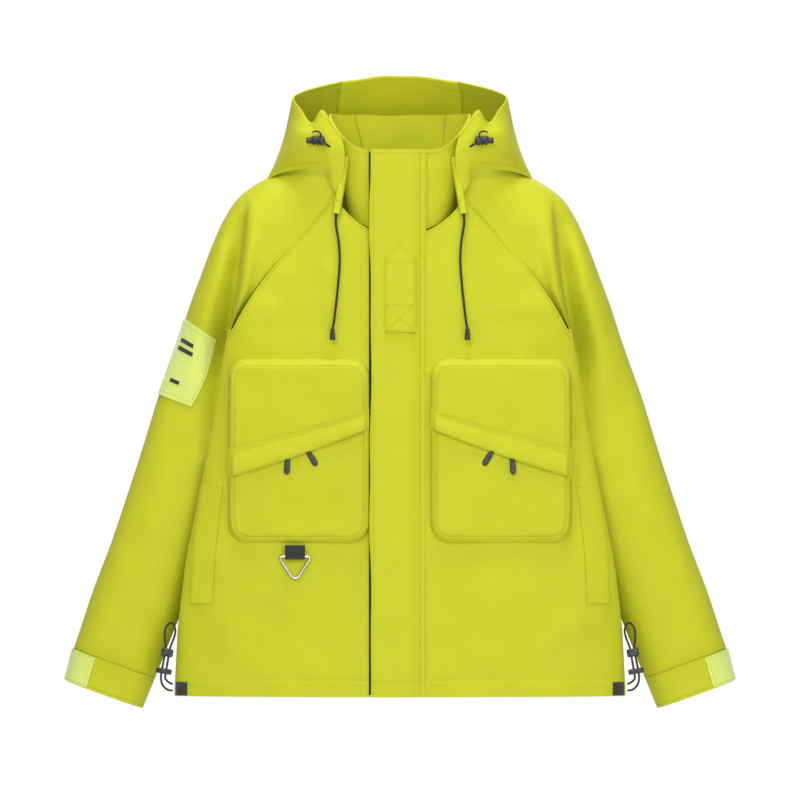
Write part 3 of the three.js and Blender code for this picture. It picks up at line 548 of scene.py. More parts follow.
def front_panel(name, side):
    rows, columns = 260, 118
    v = np.linspace(0, 1, rows)[:, None]
    u = np.linspace(0, 1, columns)[None]
    out_x, out_z = panel_edge(v)
    start = side * ZIP_X + 3.5
    in_x = np.where(v <= NECK_SHARE, start, mix(start, NECK_CORNER_X, (v - NECK_SHARE) / (1 - NECK_SHARE)))
    in_z = np.where(v <= NECK_SHARE, NECK_FRONT_Z * v / NECK_SHARE, neck_height(in_x))
    share = np.sin(u * math.pi / 2) * 0.6 + u * 0.4
    share = share / share.max()
    x, z = side * mix(in_x, out_x, share), mix(in_z, out_z, share)
    y = front_skin(x, z)
    # the raglan edge turns under, into the seam
    seam = ease((v - ARMHOLE_SHARE) * 30) * np.exp(-(((1 - share) * np.abs(out_x - in_x) / SEAM_WIDTH) ** 2))
    y = y + 1.3 * seam
    points = np.stack(np.broadcast_arrays(x, y, z), -1).reshape(-1, 3)
    faces = grid_faces(rows, columns)
    if side < 0:
        faces = [f[::-1] for f in faces]
    obj = mesh_object(f"front_cloth_{name}", points, faces)
    thicken(obj, 1.6)
    finish_piece(obj, "shell", "root", f"front_panel_{name}")


def sheet_object(name, grid, inside, thickness=1.6, closed=False):
    """Cloth through a grid of points (rows, columns, 3); inside is a point on its inner side."""
    grid = np.asarray(grid, float)
    rows, columns = grid.shape[:2]
    points = grid.reshape(-1, 3)
    faces = np.array(grid_faces(rows, columns, closed))
    a, b, c, d = (points[faces[:, k]] for k in range(4))
    normal = np.cross(c - a, d - b)
    outward = ((a + c) / 2 - np.asarray(inside, float)) * normal
    if outward.sum() < 0:
        faces = faces[:, ::-1]
    obj = mesh_object(name, points, faces.tolist())
    return thicken(obj, thickness)


def line_points(points, spacing=1.0):
    """Points spaced evenly along a polyline."""
    points = np.asarray(points, float)
    steps = np.linalg.norm(np.diff(points, axis=0), axis=1)
    run = np.concatenate([[0], np.cumsum(steps)])
    count = max(2, int(run[-1] / spacing))
    at = np.linspace(0, run[-1], count)
    return np.stack([np.interp(at, run, points[:, k]) for k in range(3)], 1)


STITCH_PITCH = 3.4
STITCH_LENGTH = 2.5
STITCH_RADIUS = 0.42


def stitches(name, lines, lift=0.15):
    """Rows of thread stitches along lines on the cloth; lift raises them towards the front."""
    vertices, faces = [], []
    sides = 6
    angle = np.linspace(0, 2 * math.pi, sides, endpoint=False)
    for line in lines:
        fine = line_points(line, STITCH_PITCH)
        for start, end in zip(fine[:-1], fine[1:]):
            along = end - start
            size = np.linalg.norm(along)
            if size < 1e-6:
                continue
            along = along / size
            side = np.cross(along, (0.1, -1, 0.05))
            side /= np.linalg.norm(side)
            up = np.cross(side, along)
            for share, radius in ((0, 0.35), (0.25, 1), (0.75, 1), (1, 0.35)):
                middle = start + along * share * STITCH_LENGTH + np.array([0, -lift * radius, 0])
                ring = np.cos(angle)[:, None] * side + np.sin(angle)[:, None] * up
                vertices.extend(middle + ring * STITCH_RADIUS * radius)
            first = len(vertices) - 4 * sides
            faces += grid_faces(4, sides, closed=True, offset=first)
            faces += [[first + k for k in range(sides)][::-1], [first + 3 * sides + k for k in range(sides)]]
    return mesh_object(name, vertices, faces)


def on_front(x, z, lift=0.0):
    x, z = np.broadcast_arrays(np.asarray(x, float), np.asarray(z, float))
    return np.stack([x, front_skin(x, z) - lift, z], -1)


# ------------------------------------------------------------------ back and sides
BODY_MIDDLE = (0, MID_Y, 300)
BACK_NECK_Z = 735
SIDE_TOP_Z = 516
SLEEVE_CLEARANCE = 10
SHOULDER_X = 185
SHOULDER_Z = 640
TILT = math.radians(20)
SLEEVE_LENGTH = 681
SLEEVE_DEPTH = 50
INNER_HALF = [(0, 88), (124, 88), (264, 78), (406, 68), (548, 62), (655, 59), (681, 57)]


def sleeve_inner_x(z):
    along = np.clip((SHOULDER_Z - z) / math.cos(TILT) - 30, 0, SLEEVE_LENGTH)
    reach = (SHOULDER_Z - z - station(INNER_HALF, along) * math.sin(TILT)) / math.cos(TILT)
    inner = station(INNER_HALF, np.clip(reach, 0, SLEEVE_LENGTH))
    return SHOULDER_X + reach * math.sin(TILT) - inner * math.cos(TILT)


def back():
    rows, columns = 200, 160
    v = np.linspace(0, 1, rows)[:, None]
    share = np.linspace(-1, 1, columns)[None]
    edge_x, edge_z = panel_edge(v)
    x = np.sign(share) * np.sin(np.abs(share) * math.pi / 2) * edge_x
    neck = mix(BACK_NECK_Z, edge_z, np.minimum(1, np.abs(x) / edge_x) ** 2)
    middle = mix(ARMHOLE_Z, neck, (v - ARMHOLE_SHARE) / (1 - ARMHOLE_SHARE))
    z = np.where(v > ARMHOLE_SHARE, mix(middle, edge_z, np.abs(share) ** 3), edge_z)
    grid = np.stack([x, back_skin(x, np.minimum(z, NECK_CORNER_Z)), z], -1)
    finish_piece(sheet_object("back_cloth", grid, BODY_MIDDLE), "shell", "root", "back_panel")
    hem = np.linspace(-HEM_HALF + 6, HEM_HALF - 6, 200)
    seam_z = 0 * hem + HEM_SEAM_Z
    line = np.stack([hem, back_skin(hem, seam_z), seam_z], -1)
    finish_piece(stitches("back_hem_stitches", [line], -0.5), "thread", "root")


def side_cloth(name, side):
    u, v = np.meshgrid(np.linspace(0, 1, 36), np.linspace(0, 1, 120))
    z = SIDE_TOP_Z * v
    width = half_width(z) - 0.5
    dip = np.maximum(6, width - (sleeve_inner_x(z) - SLEEVE_CLEARANCE))
    turn = math.pi * u
    x = side * (width - dip * np.sin(turn))
    y = MID_Y - (MID_Y - EDGE_Y - 0.5) * np.cos(turn)
    grid = np.stack([x, y, z], -1)
    obj = sheet_object(f"side_cloth_{name}", grid, BODY_MIDDLE)
    finish_piece(obj, "shell", "root", "back_panel")


# ------------------------------------------------------------------ raglan sleeves
# Each row of the sleeve runs from its inner edge (the raglan seam at first) to its outer silhouette.
SLEEVE_ROWS = [
    # inner x, inner z, outer x, outer z, middle y, and roundness from 0, an arch, to 1, a tube
    (91, 703, 97, 752, 8, 0), (108, 683, 148, 746, 9, 0), (126, 661, 193, 727, 10, 0),
    (152, 631, 227, 703, 11, 0.02), (182, 598, 248, 673, 13, 0.06), (205, 567, 265, 636, 14, 0.14),
    (224, 538, 281, 594, 16, 0.28), (240, 506, 297, 551, 17, 0.48), (234, 462, 311, 508, 17, 0.72),
    (218, 412, 327, 462, 17, 0.9), (202, 365, 343, 417, 17, 1), (231, 300, 364, 349, 17, 1),
    (260, 235, 386, 281, 17, 1), (287, 170, 409, 213, 17, 1), (314, 104, 434, 147, 17, 1),
    (339, 41.6, 455, 84, 17, 1), (346.2, 23.5, 461.3, 65.4, 17, 1), (364, -19.5, 473, 20, 17, 1),
]
# x and z of the armhole's crease, and how deep it is at heights z
CREASE = [(216, 700), (223, 630), (231, 572), (239, 530), (248, 488), (253, 446), (262, 389), (285, 300)]
CREASE_DEPTH = ([330, 430, 480, 540, 600, 640, 680, 705], [0, 18, 34, 42, 40, 28, 9, 0])
CREASE_OUTER_WIDTH = 21
CREASE_INNER_WIDTH = 3.2
REAR_TUCK = 16  # how far the sleeve's rear edge reaches in under the back


def sleeve_rows(t):
    """The row table read at t from 0, the neck, to 17, the cuff's edge."""
    table = catmull(np.array(SLEEVE_ROWS, float), 24)
    at = np.asarray(t, float) / (len(SLEEVE_ROWS) - 1) * (len(table) - 1)
    return [np.interp(at, np.arange(len(table)), column) for column in table.T]


def crease_depth(x, z):
    line_z, line_x = np.array(CREASE)[::-1, 1], np.array(CREASE)[::-1, 0]
    away = x - np.interp(z, line_z, line_x)
    strength = np.interp(z, *CREASE_DEPTH)
    ridge = 0.2 * np.exp(-(((away + 13) / 9) ** 2))
    width = np.where(away > 0, CREASE_OUTER_WIDTH, CREASE_INNER_WIDTH)
    return strength * (np.exp(-((away / width) ** 2)) - ridge)


def sleeve_skin(t, s, front):
    """A point of the sleeve in row t, a share s of the way from its inner to its outer edge."""
    in_x, in_z, out_x, out_z, middle, roundness = sleeve_rows(t)
    x, z = mix(in_x, out_x, s), mix(in_z, out_z, s)
    body_bulge = bulge(np.minimum(in_x, half_width(in_z)), in_z)
    if front:
        seam_y = edge_y(in_z) - (edge_y(in_z) - front_line_y(in_z)) * body_bulge
        seam_y = mix(seam_y + 1.2, EDGE_Y + 3, ease((np.asarray(t) - 5.5) / 3))
        sign = -1
    else:
        x = x - REAR_TUCK * np.clip(1 - s, 0, 1) ** 5 * ease((11 - np.asarray(t)) / 3)
        seam_y = 2 * MID_Y - edge_y(in_z) + BACK_DEPTH * body_bulge
        seam_y = mix(seam_y - 2.5, 2 * MID_Y - EDGE_Y - 3, ease((np.asarray(t) - 5.5) / 3))
        sign = 1
    arch = middle + (seam_y - middle) * np.clip(1 - s**2.2, 0, 1) ** 0.5
    narrow = ease((np.asarray(t) - 15) / 2)
    depth = mix(SLEEVE_DEPTH, SLEEVE_DEPTH - 4, narrow)
    tube_y = middle + sign * depth * np.clip(1 - np.abs(2 * s - 1) ** 2.3, 0, 1) ** 0.5
    y = mix(arch, tube_y, roundness)
    if front:
        y = y + crease_depth(x, z) * np.clip(s * 8, 0, 1) * np.clip((1 - s) * 5, 0, 1)
    points = np.stack(np.broadcast_arrays(x, y, z), -1)
    soft = np.clip(s * 6, 0, 1) * np.clip((1 - s) * 6, 0, 1)
    wave = 2.0 * ripples(points, 31, 190, (1, 0.2, 0.5)) + 0.7 * ripples(points, 32, 64, (1, 0.2, 0.6))
    y = y + sign * wave * soft
    return x, y, z


def sleeve_loop(t, columns):
    """A whole loop of the sleeve's skin at rows t: the front from inner to outer edge, then back again."""
    half = np.linspace(0, 1, columns // 2)
    s = (1 - np.cos(half * math.pi)) / 2
    front = sleeve_skin(t[:, None], s[None], True)
    rear = sleeve_skin(t[:, None], s[None, -2::-1], False)
    both = [np.stack(np.broadcast_arrays(*skin), -1) for skin in (front, rear)]
    return np.concatenate(both, 1)


CUFF_ROW = 16
CUFF_END_ROW = 17
ELBOW_ROW = 10.4  # where the upper sleeve meets the lower one, above the crease of the elbow
SHOULDER_BLEND = (130, 288)  # mm down the sleeve from its pivot; blend_along_sleeve only bakes the piece's transform and does not use them
ELBOW_BLEND = (296, 400)


def on_side(grid, side):
    return np.asarray(grid) * np.array([side, 1, 1])


def sleeve(name, side):
    def cloth(piece, first, last, rows):
        grid = on_side(sleeve_loop(np.linspace(first, last, rows), 120), side)
        obj = sheet_object(piece, grid, grid.mean(axis=1).mean(axis=0))
        orient_outwards(obj)
        return obj

    upper = cloth(f"sleeve_upper_{name}", 0, ELBOW_ROW, 190)
    finish_piece(upper, "shell", None, f"shoulder_{name}", f"upper_sleeve_{name}")
    blend_along_sleeve(upper, side, "root", f"upper_sleeve_{name}", *SHOULDER_BLEND)
    lower = cloth(f"sleeve_lower_{name}", ELBOW_ROW, CUFF_ROW - 0.02, 130)
    finish_piece(lower, "shell", None, f"lower_sleeve_{name}")
    blend_along_sleeve(lower, side, f"upper_sleeve_{name}", f"lower_sleeve_{name}", *ELBOW_BLEND)
    cuff = cloth(f"sleeve_cuff_{name}", CUFF_ROW, CUFF_END_ROW, 26)
    finish_piece(cuff, "shell", f"lower_sleeve_{name}", f"cuff_{name}")
    lines = []
    for row in (CUFF_ROW - 0.08, 16.9):
        line = on_side(sleeve_loop(np.array([row]), 120)[0, :60], side)
        lines.append(line)
    finish_piece(stitches(f"cuff_stitches_{name}", lines, 0.4), "thread", f"lower_sleeve_{name}")


def blend_along_sleeve(obj, side, upper, lower, start, end):
    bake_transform(obj)


def orient_outwards(obj):
    """Turns all the faces of a closed skin outwards."""
    mesh = bmesh.new()
    mesh.from_mesh(obj.data)
    bmesh.ops.recalc_face_normals(mesh, faces=mesh.faces)
    mesh.to_mesh(obj.data)
    mesh.free()
    smooth_faces(obj.data)


def patch_grid(side, t_range, first_turns, last_turn, lift, rows=40, columns=60):
    """A patch on the sleeve's own cloth, between rows and turns: 0 is the outer edge, the front is above 0."""
    t = np.linspace(*t_range, rows)[:, None]
    turn = mix(np.linspace(*first_turns, rows)[:, None], last_turn, np.linspace(0, 1, columns)[None])
    s = (1 + np.cos(turn)) / 2
    front = np.stack(np.broadcast_arrays(*sleeve_skin(t, s, True)), -1)
    rear = np.stack(np.broadcast_arrays(*sleeve_skin(t, s, False)), -1)
    grid = np.where((turn >= 0)[..., None], front, rear)
    du = np.gradient(grid, axis=1)
    dv = np.gradient(grid, axis=0)
    normal = np.cross(du, dv)
    normal /= np.linalg.norm(normal, axis=-1)[..., None] + 1e-9
    outward = np.stack([np.cos(turn), -np.sin(turn), 0 * turn], -1)
    normal *= np.sign((normal * outward).sum(-1, keepdims=True))
    return on_side(grid + normal * lift, side)


def border(grid, inset):
    """The line round a patch, inset by a number of rows and columns."""
    a = grid[inset, inset:-inset]
    b = grid[inset:-inset, -1 - inset]
    c = grid[-1 - inset, inset:-inset][::-1]
    d = grid[inset:-inset, inset][::-1]
    return np.concatenate([a, b, c, d, a[:1]])


BADGE_ROWS = (7.47, 9.87)
BADGE_FIRST_TURNS = (1.896, 1.234)
BADGE_LAST_TURN = -0.3
BADGE_BARS = ((9, 18, 36), (13, 16, 36), (29, 18, 30))  # row, first column and last column


def sleeve_patch():
    grid = patch_grid(-1, BADGE_ROWS, BADGE_FIRST_TURNS, BADGE_LAST_TURN, 2.2)
    inside = grid.mean(axis=(0, 1)) + np.array([30, 60, 0])
    patch = sheet_object("badge_field", grid, inside, 1.4)
    finish_piece(patch, "pale", None, "sleeve_patch")
    threads = stitches("badge_stitches", [border(grid, 2)], 0.3)
    finish_piece(threads, "pale_edge", None)
    bars = []
    for row, first, last in BADGE_BARS:
        bar = grid[row:row + 3, first:last] + np.array([-0.3, -0.7, 0])
        piece = sheet_object(f"badge_bar_{row}", bar, inside, 0.5)
        bars.append(finish_piece(piece, "webbing", None))
    for obj in [patch, threads] + bars:
        blend_along_sleeve(obj, -1, "root", "upper_sleeve_right", *SHOULDER_BLEND)


CUFF_TAB_TURNS = (1.115, -0.25)


def cuff_tab(name, side):
    first, last = CUFF_TAB_TURNS
    rows = (CUFF_ROW + 0.04, CUFF_END_ROW - 0.02)
    grid = patch_grid(side, rows, (first, first), last, 2.4, 30, 40)
    inside = grid.mean(axis=(0, 1)) + np.array([-30 * side, 60, 0])
    tab = sheet_object(f"cuff_tab_cloth_{name}", grid, inside, 1.6)
    finish_piece(tab, "pale", f"cuff_tab_{name}", f"cuff_tab_{name}")
    threads = stitches(f"cuff_tab_stitches_{name}", [border(grid, 2)], 0.3)
    finish_piece(threads, "pale_edge", f"cuff_tab_{name}")


# ------------------------------------------------------------------ hood and collar
def net(rows, steps_across, steps_up):
    """A smooth surface through a net of points."""
    across = np.array([catmull(row, steps_across) for row in rows])
    return np.stack([catmull(across[:, k], steps_up) for k in range(across.shape[1])], 1)


HOOD_SIDE_ROWS = [
    [(88, -80, 702), (97, -76, 719), (106, -71, 738), (138, -54, 740), (170, -28, 735),
     (188, 0, 728), (176, 38, 735), (142, 76, 746), (96, 99, 752)],
    [(80, -80, 735), (94, -84, 752), (108, -83, 762), (137, -72, 764), (163, -42, 760),
     (175, 0, 754), (165, 46, 764), (134, 88, 772), (95, 110, 778)],
    [(78, -82, 760), (92, -86, 772), (108, -85, 784), (130, -78, 786), (151, -52, 789),
     (163, -4, 792), (152, 48, 800), (126, 90, 806), (93, 112, 808)],
    [(80, -81, 774), (93, -83, 788), (109, -82, 804), (126, -73, 797), (143, -50, 808),
     (157, -12, 816), (143, 40, 828), (120, 74, 834), (90, 92, 838)],
    [(83, -79, 786), (94, -79, 803), (110, -77, 824), (124, -66, 806), (138, -48, 824),
     (151, -22, 842), (137, 22, 853), (112, 50, 862), (83, 62, 869)],
]
HOOD_BACK_ROWS = [
    [(-99, 98, 751), (-50, 114, 752), (0, 119, 752), (50, 114, 752), (99, 98, 751)],
    [(-95, 110, 778), (-50, 126, 780), (0, 131, 781), (50, 126, 780), (95, 110, 778)],
    [(-93, 112, 808), (-50, 128, 811), (0, 133, 812), (50, 128, 811), (93, 112, 808)],
    [(-90, 92, 838), (-48, 102, 843), (0, 107, 845), (48, 102, 843), (90, 92, 838)],
    [(-87, 61, 868), (-45, 69, 874), (0, 72, 876), (45, 69, 874), (87, 61, 868)],
]
HOOD_MIDDLE = (0, 20, 800)
LINING_GAP = 3.2


COLLAR_BASE_HALF = 79
COLLAR_TOP_HALF = 100
COLLAR_BASE_Z = 695
COLLAR_BASE_SLOPE = 44
COLLAR_BACK_Y = 68
COLLAR_BACK_RISE = 52
COLLAR_WALL = 3.2
COLLAR_SEAM_X = 64


def puckered(grid, seed, height, middle, wavelength=70):
    """Moves a grid in and out by soft waves, towards and away from a middle point."""
    direction = grid - np.asarray(middle, float)
    direction /= np.linalg.norm(direction, axis=-1)[..., None]
    return grid + direction * (height * ripples(grid, seed, wavelength))[..., None]


def neck_yoke():
    """Joins the top of the back to the base of the collar, inside the hood."""
    u = np.linspace(-1, 1, 60)[None]
    x = NECK_CORNER_X * u
    z = mix(BACK_NECK_Z, NECK_CORNER_Z, np.abs(u) ** 2.2)
    low = np.stack(np.broadcast_arrays(x, back_skin(x, np.minimum(z, NECK_CORNER_Z)) - 1, z), -1)[0]
    turn = math.pi - u[0] * 1.75
    top_half = COLLAR_BASE_HALF + 1
    base_z = COLLAR_BASE_Z + 8 - COLLAR_BASE_SLOPE * np.cos(turn)
    front = front_line_y(base_z)
    middle = (front + COLLAR_BACK_Y) / 2
    top = np.stack([top_half * np.sin(turn), middle + (front - middle) * np.cos(turn) + 1, base_z], -1)
    share = np.linspace(0, 1, 24)[:, None, None]
    grid = mix(low[None], top[None], share)
    grid[..., 2] += 5 * np.sin(share[..., 0] * math.pi)
    finish_piece(sheet_object("neck_yoke_cloth", grid, (0, 60, 600)), "shell", "root")


def neck_sides():
    """Closes each shoulder from the neck end of the sleeve to the base of the collar."""
    s = (1 - np.cos(np.linspace(0, math.pi, 40))) / 2
    front = np.stack(np.broadcast_arrays(*sleeve_skin(0.02, s, True)), -1)
    rear = np.stack(np.broadcast_arrays(*sleeve_skin(0.02, s, False)), -1)
    edge = np.concatenate([front, rear[-2::-1]])
    inner = edge.copy()
    inner[:, 0] = COLLAR_BASE_HALF + 1.5
    inner[:, 1] *= 0.86
    inner[:, 2] -= 9
    share = np.linspace(0, 1, 12)[:, None, None]
    for name, side in SIDES:
        grid = on_side(mix(edge[None], inner[None], share) - np.array([0, 0, 0.6]), side)
        finish_piece(sheet_object(f"neck_side_{name}", grid, (0, 17, 500)), "shell", "root")


def hood():
    for name, side in SIDES:
        grid = on_side(puckered(net(HOOD_SIDE_ROWS, 14, 14), 41, 1.0, HOOD_MIDDLE), side)
        panel = sheet_object(f"hood_side_{name}", grid, HOOD_MIDDLE, 2.2)
        finish_piece(panel, "shell", None, f"hood_panel_{name}")
        blend_hood(panel)
        rim = stitches(f"hood_rim_stitches_{name}", [grid[-6, 4:], grid[5, 30:]], 0.4)
        finish_piece(rim, "thread", None)
        blend_hood(rim)
    grid = puckered(net(HOOD_BACK_ROWS, 20, 14), 42, 1.4, HOOD_MIDDLE)
    panel = sheet_object("hood_back_cloth", grid, HOOD_MIDDLE, 2.2)
    finish_piece(panel, "shell", None, "hood_centre_panel")
    inward = np.asarray(HOOD_MIDDLE) - grid
    inner_grid = grid + LINING_GAP * inward / np.linalg.norm(inward, axis=-1)[..., None]
    # the lining's lighter colour is painted light for the shade inside the hood
    lining = sheet_object("hood_centre_lining", inner_grid, HOOD_MIDDLE, 0.6)
    blend_hood(finish_piece(lining, "lining", None))
    blend_hood(panel)
    seams = [grid[:, 1] + (1.5, -3.4, 0), grid[:, -2] + (-1.5, -3.4, 0), grid[-7] + (0, -3.6, -0.5)]
    for k, line in enumerate(seams):
        blend_hood(finish_piece(tube(f"hood_back_seam_{k}", line, 0.9, 8), "thread", None))


def blend_hood(obj):
    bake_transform(obj)


def collar_grid(shrink=0.0):
    """The collar's skin, drawn in by shrink, from one side of the zip round the neck to the other."""
    rows, columns = 60, 260
    half_base, half_top = COLLAR_BASE_HALF - shrink, COLLAR_TOP_HALF - shrink
    v = np.linspace(0, 1, rows)[:, None]
    half = mix(half_base, half_top, v)
    start = np.arcsin((ZIP_X + 6) / half)
    end = 2 * math.pi + np.arcsin((ZIP_X - 6) / half)
    turn = mix(start, end, np.linspace(0, 1, columns)[None])
    from_front = np.minimum(turn, 2 * math.pi - turn)
    low = COLLAR_BASE_Z - COLLAR_BASE_SLOPE * np.cos(turn)
    high = COLLAR_TOP_Z + COLLAR_BACK_RISE * ease((from_front - 0.45) / 1.25)
    z = mix(low, high, v)
    front = front_line_y(z) + shrink
    middle = (front + COLLAR_BACK_Y - shrink) / 2
    bow = np.sign(np.cos(turn)) * np.abs(np.cos(turn)) ** np.where(np.cos(turn) > 0, 0.62, 1)
    x = half * np.sin(turn)
    y = middle + (front - middle) * bow
    return np.stack(np.broadcast_arrays(x, y, z), -1)


def collar():
    grid = collar_grid()
    inside = np.array([0, -10, 740.0])
    grid = puckered(grid, 51, 0.7, inside, 60)
    obj = sheet_object("collar_cloth", grid, inside, COLLAR_WALL)
    finish_piece(obj, "shell", "root", "collar")
    inner = collar_grid(COLLAR_WALL + 0.3)
    finish_piece(stitches("collar_stitches", [grid[-4]], 0.3), "thread", "root")
    top_x, top_y = inner[-1, :, 0], inner[-1, :, 1]
    for k, x in enumerate((-COLLAR_SEAM_X, COLLAR_SEAM_X)):
        column = int(np.argmin(np.abs(top_x - x) + 1000 * (top_y < 0)))  # only at the back
        line = inner[30:, column] + np.array([0, -0.5, 0])
        finish_piece(tube(f"collar_lining_seam_{k}", line, 0.8, 8), "thread", "root")


TUNNEL_PATH = [(77, -73, 758), (77.5, -72, 750), (79, -71, 741), (84.25, -78.5, 709), (89.5, -87, 677)]
TUNNEL_HALF_WIDTH = 5.8
TUNNEL_HALF_DEPTH = 3.9


def cord_tunnels():
    for name, side in SIDES:
        path = catmull(on_side(TUNNEL_PATH, side), 12)
        tangent = np.gradient(path, axis=0)
        tangent /= np.linalg.norm(tangent, axis=1)[:, None]
        across = np.array([1.0, 0, 0]) - tangent * tangent[:, :1]
        across /= np.linalg.norm(across, axis=1)[:, None]
        out = np.cross(tangent, across)
        angle = np.linspace(0, 2 * math.pi, 28, endpoint=False)
        flat = np.sign(np.cos(angle)) * np.abs(np.cos(angle)) ** 0.8
        ring = flat[None, :, None] * across[:, None] * TUNNEL_HALF_WIDTH
        ring = ring + np.sin(angle)[None, :, None] * out[:, None] * TUNNEL_HALF_DEPTH
        grid = path[:, None] + ring
        obj = sheet_object(f"cord_tunnel_cloth_{name}", grid, path.mean(axis=0), 1.1, closed=True)
        finish_piece(obj, "shell", "root", f"cord_tunnel_{name}")
        edge = [path + across * share * 4.6 + np.array([0, -3.0, 0]) for share in (-1, 1)]
        bar = [path[-8] + across[-8] * share * 3 + np.array([0, -4.2, dz])
               for dz in (0, 1.2) for share in (-1, 1)]
        threads = stitches(f"cord_tunnel_stitches_{name}", edge + [bar[:2], bar[2:]], 0.4)
        finish_piece(threads, "thread", "root")


# ------------------------------------------------------------------ front closure
FLAP_LIFT = 8
# the free edge stands in from the CAD flap's edge so a strip of the black zip tape shows beside it: a dark strip
# standing in for the shadow under the flap's edge
FLAP_LEFT = -41.2
FLAP_RIGHT = 36.5
FLAP_SEAM_X = 29.4


def flap_skin(x, z, lift=0.0):
    """The storm flap stands off the front over the zip, and comes down to it at its sewn edge."""
    x, z = np.broadcast_arrays(np.asarray(x, float), np.asarray(z, float))
    stand = mix(1.2, FLAP_LIFT + 1.8, ease((FLAP_RIGHT - x) / 26))
    points = np.stack([x, 0 * x, z], -1)
    sway = 0.5 * ripples(points, 61, 120, (0.4, 0, 1)) * ease((FLAP_RIGHT - x) / 40)
    seam = 0.8 * np.exp(-(((x - FLAP_SEAM_X) / 0.9) ** 2))
    seam = seam + 0.5 * np.exp(-(((z - HEM_SEAM_Z) / 1.6) ** 2))
    roll = 1.3 * np.exp(-(((x - FLAP_LEFT) / 1.4) ** 2))
    y = front_line_y(z) - stand - sway + seam + roll - lift
    return np.stack([x, y, z], -1)


def storm_flap():
    edge = np.linspace(FLAP_LEFT, FLAP_LEFT + 4, 10)
    x = np.concatenate([edge, np.linspace(FLAP_LEFT + 5, FLAP_RIGHT, 86)])
    z = np.linspace(0, COLLAR_TOP_Z, 300)[:, None]
    # the edge wavers so that strip of tape, standing in for the flap's shadow, runs unevenly
    waver = np.array([0.9, 0.5]) @ [np.sin(z[:, 0] / 61), np.sin(z[:, 0] / 23 + 1)]
    x = x[None] + waver[:, None] * ease((FLAP_LEFT + 9 - x[None]) / 9)
    obj = sheet_object("storm_flap_cloth", flap_skin(x, z), (0, 100, 380), 1.7)
    finish_piece(obj, "shell", "storm_flap", "storm_flap")
    run = np.linspace(3, COLLAR_TOP_Z - 3, 260)
    seam_places = (FLAP_SEAM_X - 1.2, FLAP_LEFT + 4.5, FLAP_RIGHT - 1.6)
    lines = [flap_skin(0 * run + at, run, 0.1) for at in seam_places]
    across = np.linspace(FLAP_LEFT + 3, FLAP_RIGHT - 2, 40)
    lines += [flap_skin(across, 0 * across + height, 0.1) for height in (22.5, COLLAR_TOP_Z - 5)]
    finish_piece(stitches("storm_flap_stitches", lines), "thread", "storm_flap")


TAB_TIP_Z = 640
TAB_SHOULDER_Z = 617.5
TAB_HALF = 22
TAB_BOTTOM_Z = 511
TAB_BOX_TOP_Z = 549
TAB_STAND = 2.2


def tab_point(x, z, lift=0.0):
    point = flap_skin(np.asarray(x, float) * 0 - 5, z, TAB_STAND + lift)
    point[..., 0] = x
    return point


def chest_tab():
    rows = np.linspace(TAB_BOTTOM_Z, TAB_TIP_Z, 90)[:, None]
    share = np.linspace(-1, 1, 30)[None]
    half = TAB_HALF * np.clip((TAB_TIP_Z - rows) / (TAB_TIP_Z - TAB_SHOULDER_Z), 0.02, 1)
    edge = 0.9 * (np.abs(share) ** 14) + 0.7 * np.exp(-(((rows - 607) / 1.3) ** 2)) + 0 * share
    grid = tab_point(half * share, rows + 0 * share)
    grid[..., 1] += edge
    obj = sheet_object("chest_tab_cloth", grid, (0, 100, 570), 1.7)
    finish_piece(obj, "shell", "storm_flap", "chest_tab")
    w = TAB_HALF - 2.2
    low, top = TAB_BOTTOM_Z + 2.2, TAB_BOX_TOP_Z
    box = [(-w, low), (w, low), (w, top), (-w, top), (-w, low), (w, top)]
    shoulder = TAB_SHOULDER_Z - 1
    outline = [(-w, top), (-w, shoulder), (0, TAB_TIP_Z - 3.2), (w, shoulder), (w, top)]
    shapes = (box, [(w, low), (-w, top)], outline)
    lines = [[tab_point(float(a), float(b), 0.1) for a, b in shape] for shape in shapes]
    finish_piece(stitches("chest_tab_stitches", lines), "thread", "storm_flap")


def coil_zip(name, line, width, body, node, coil_radius=1.5, pitch=2.2):
    """Two woven tapes with a coil between them, along a line that faces the front."""
    fine = line_points(line, 3)
    tangent, side, _ = frames_along(fine)
    out = np.cross(tangent, side)
    out *= np.sign(-out[:, 1:2])
    share = np.linspace(-0.5, 0.5, 9)
    grid = fine[:, None] + side[:, None] * (share * width)[None, :, None]
    tape = sheet_object(f"{name}_tape", grid, fine.mean(axis=0) + np.array([0, 50, 0]), 0.7)
    finish_piece(tape, "zip", body, node)
    coil = line_points(line, pitch / 8)
    run = np.arange(len(coil)) * (2 * math.pi / 8)
    _, coil_side, _ = frames_along(coil)
    coil = coil + coil_side * (np.cos(run) * width * 0.24)[:, None]
    coil[:, 1] += -0.9 - np.sin(run) * coil_radius * 0.6
    finish_piece(tube(f"{name}_coil", coil, 0.5, 5), "zip", body)


def lathe(name, profile, start, axis, sides=28):
    """A turned piece: (radius, distance) pairs from a start point along an axis."""
    axis = np.asarray(axis, float) / np.linalg.norm(axis)
    side = np.cross(axis, (0.3, 0.2, 0.93))
    side /= np.linalg.norm(side)
    up = np.cross(axis, side)
    angle = np.linspace(0, 2 * math.pi, sides, endpoint=False)
    circle = np.cos(angle)[:, None] * side + np.sin(angle)[:, None] * up
    vertices = np.concatenate([np.asarray(start) + axis * d + circle * r for r, d in profile])
    faces = grid_faces(len(profile), sides, closed=True)
    faces += [list(range(sides))[::-1], [len(vertices) - sides + k for k in range(sides)]]
    obj = mesh_object(name, vertices, faces)
    orient_outwards(obj)
    return obj


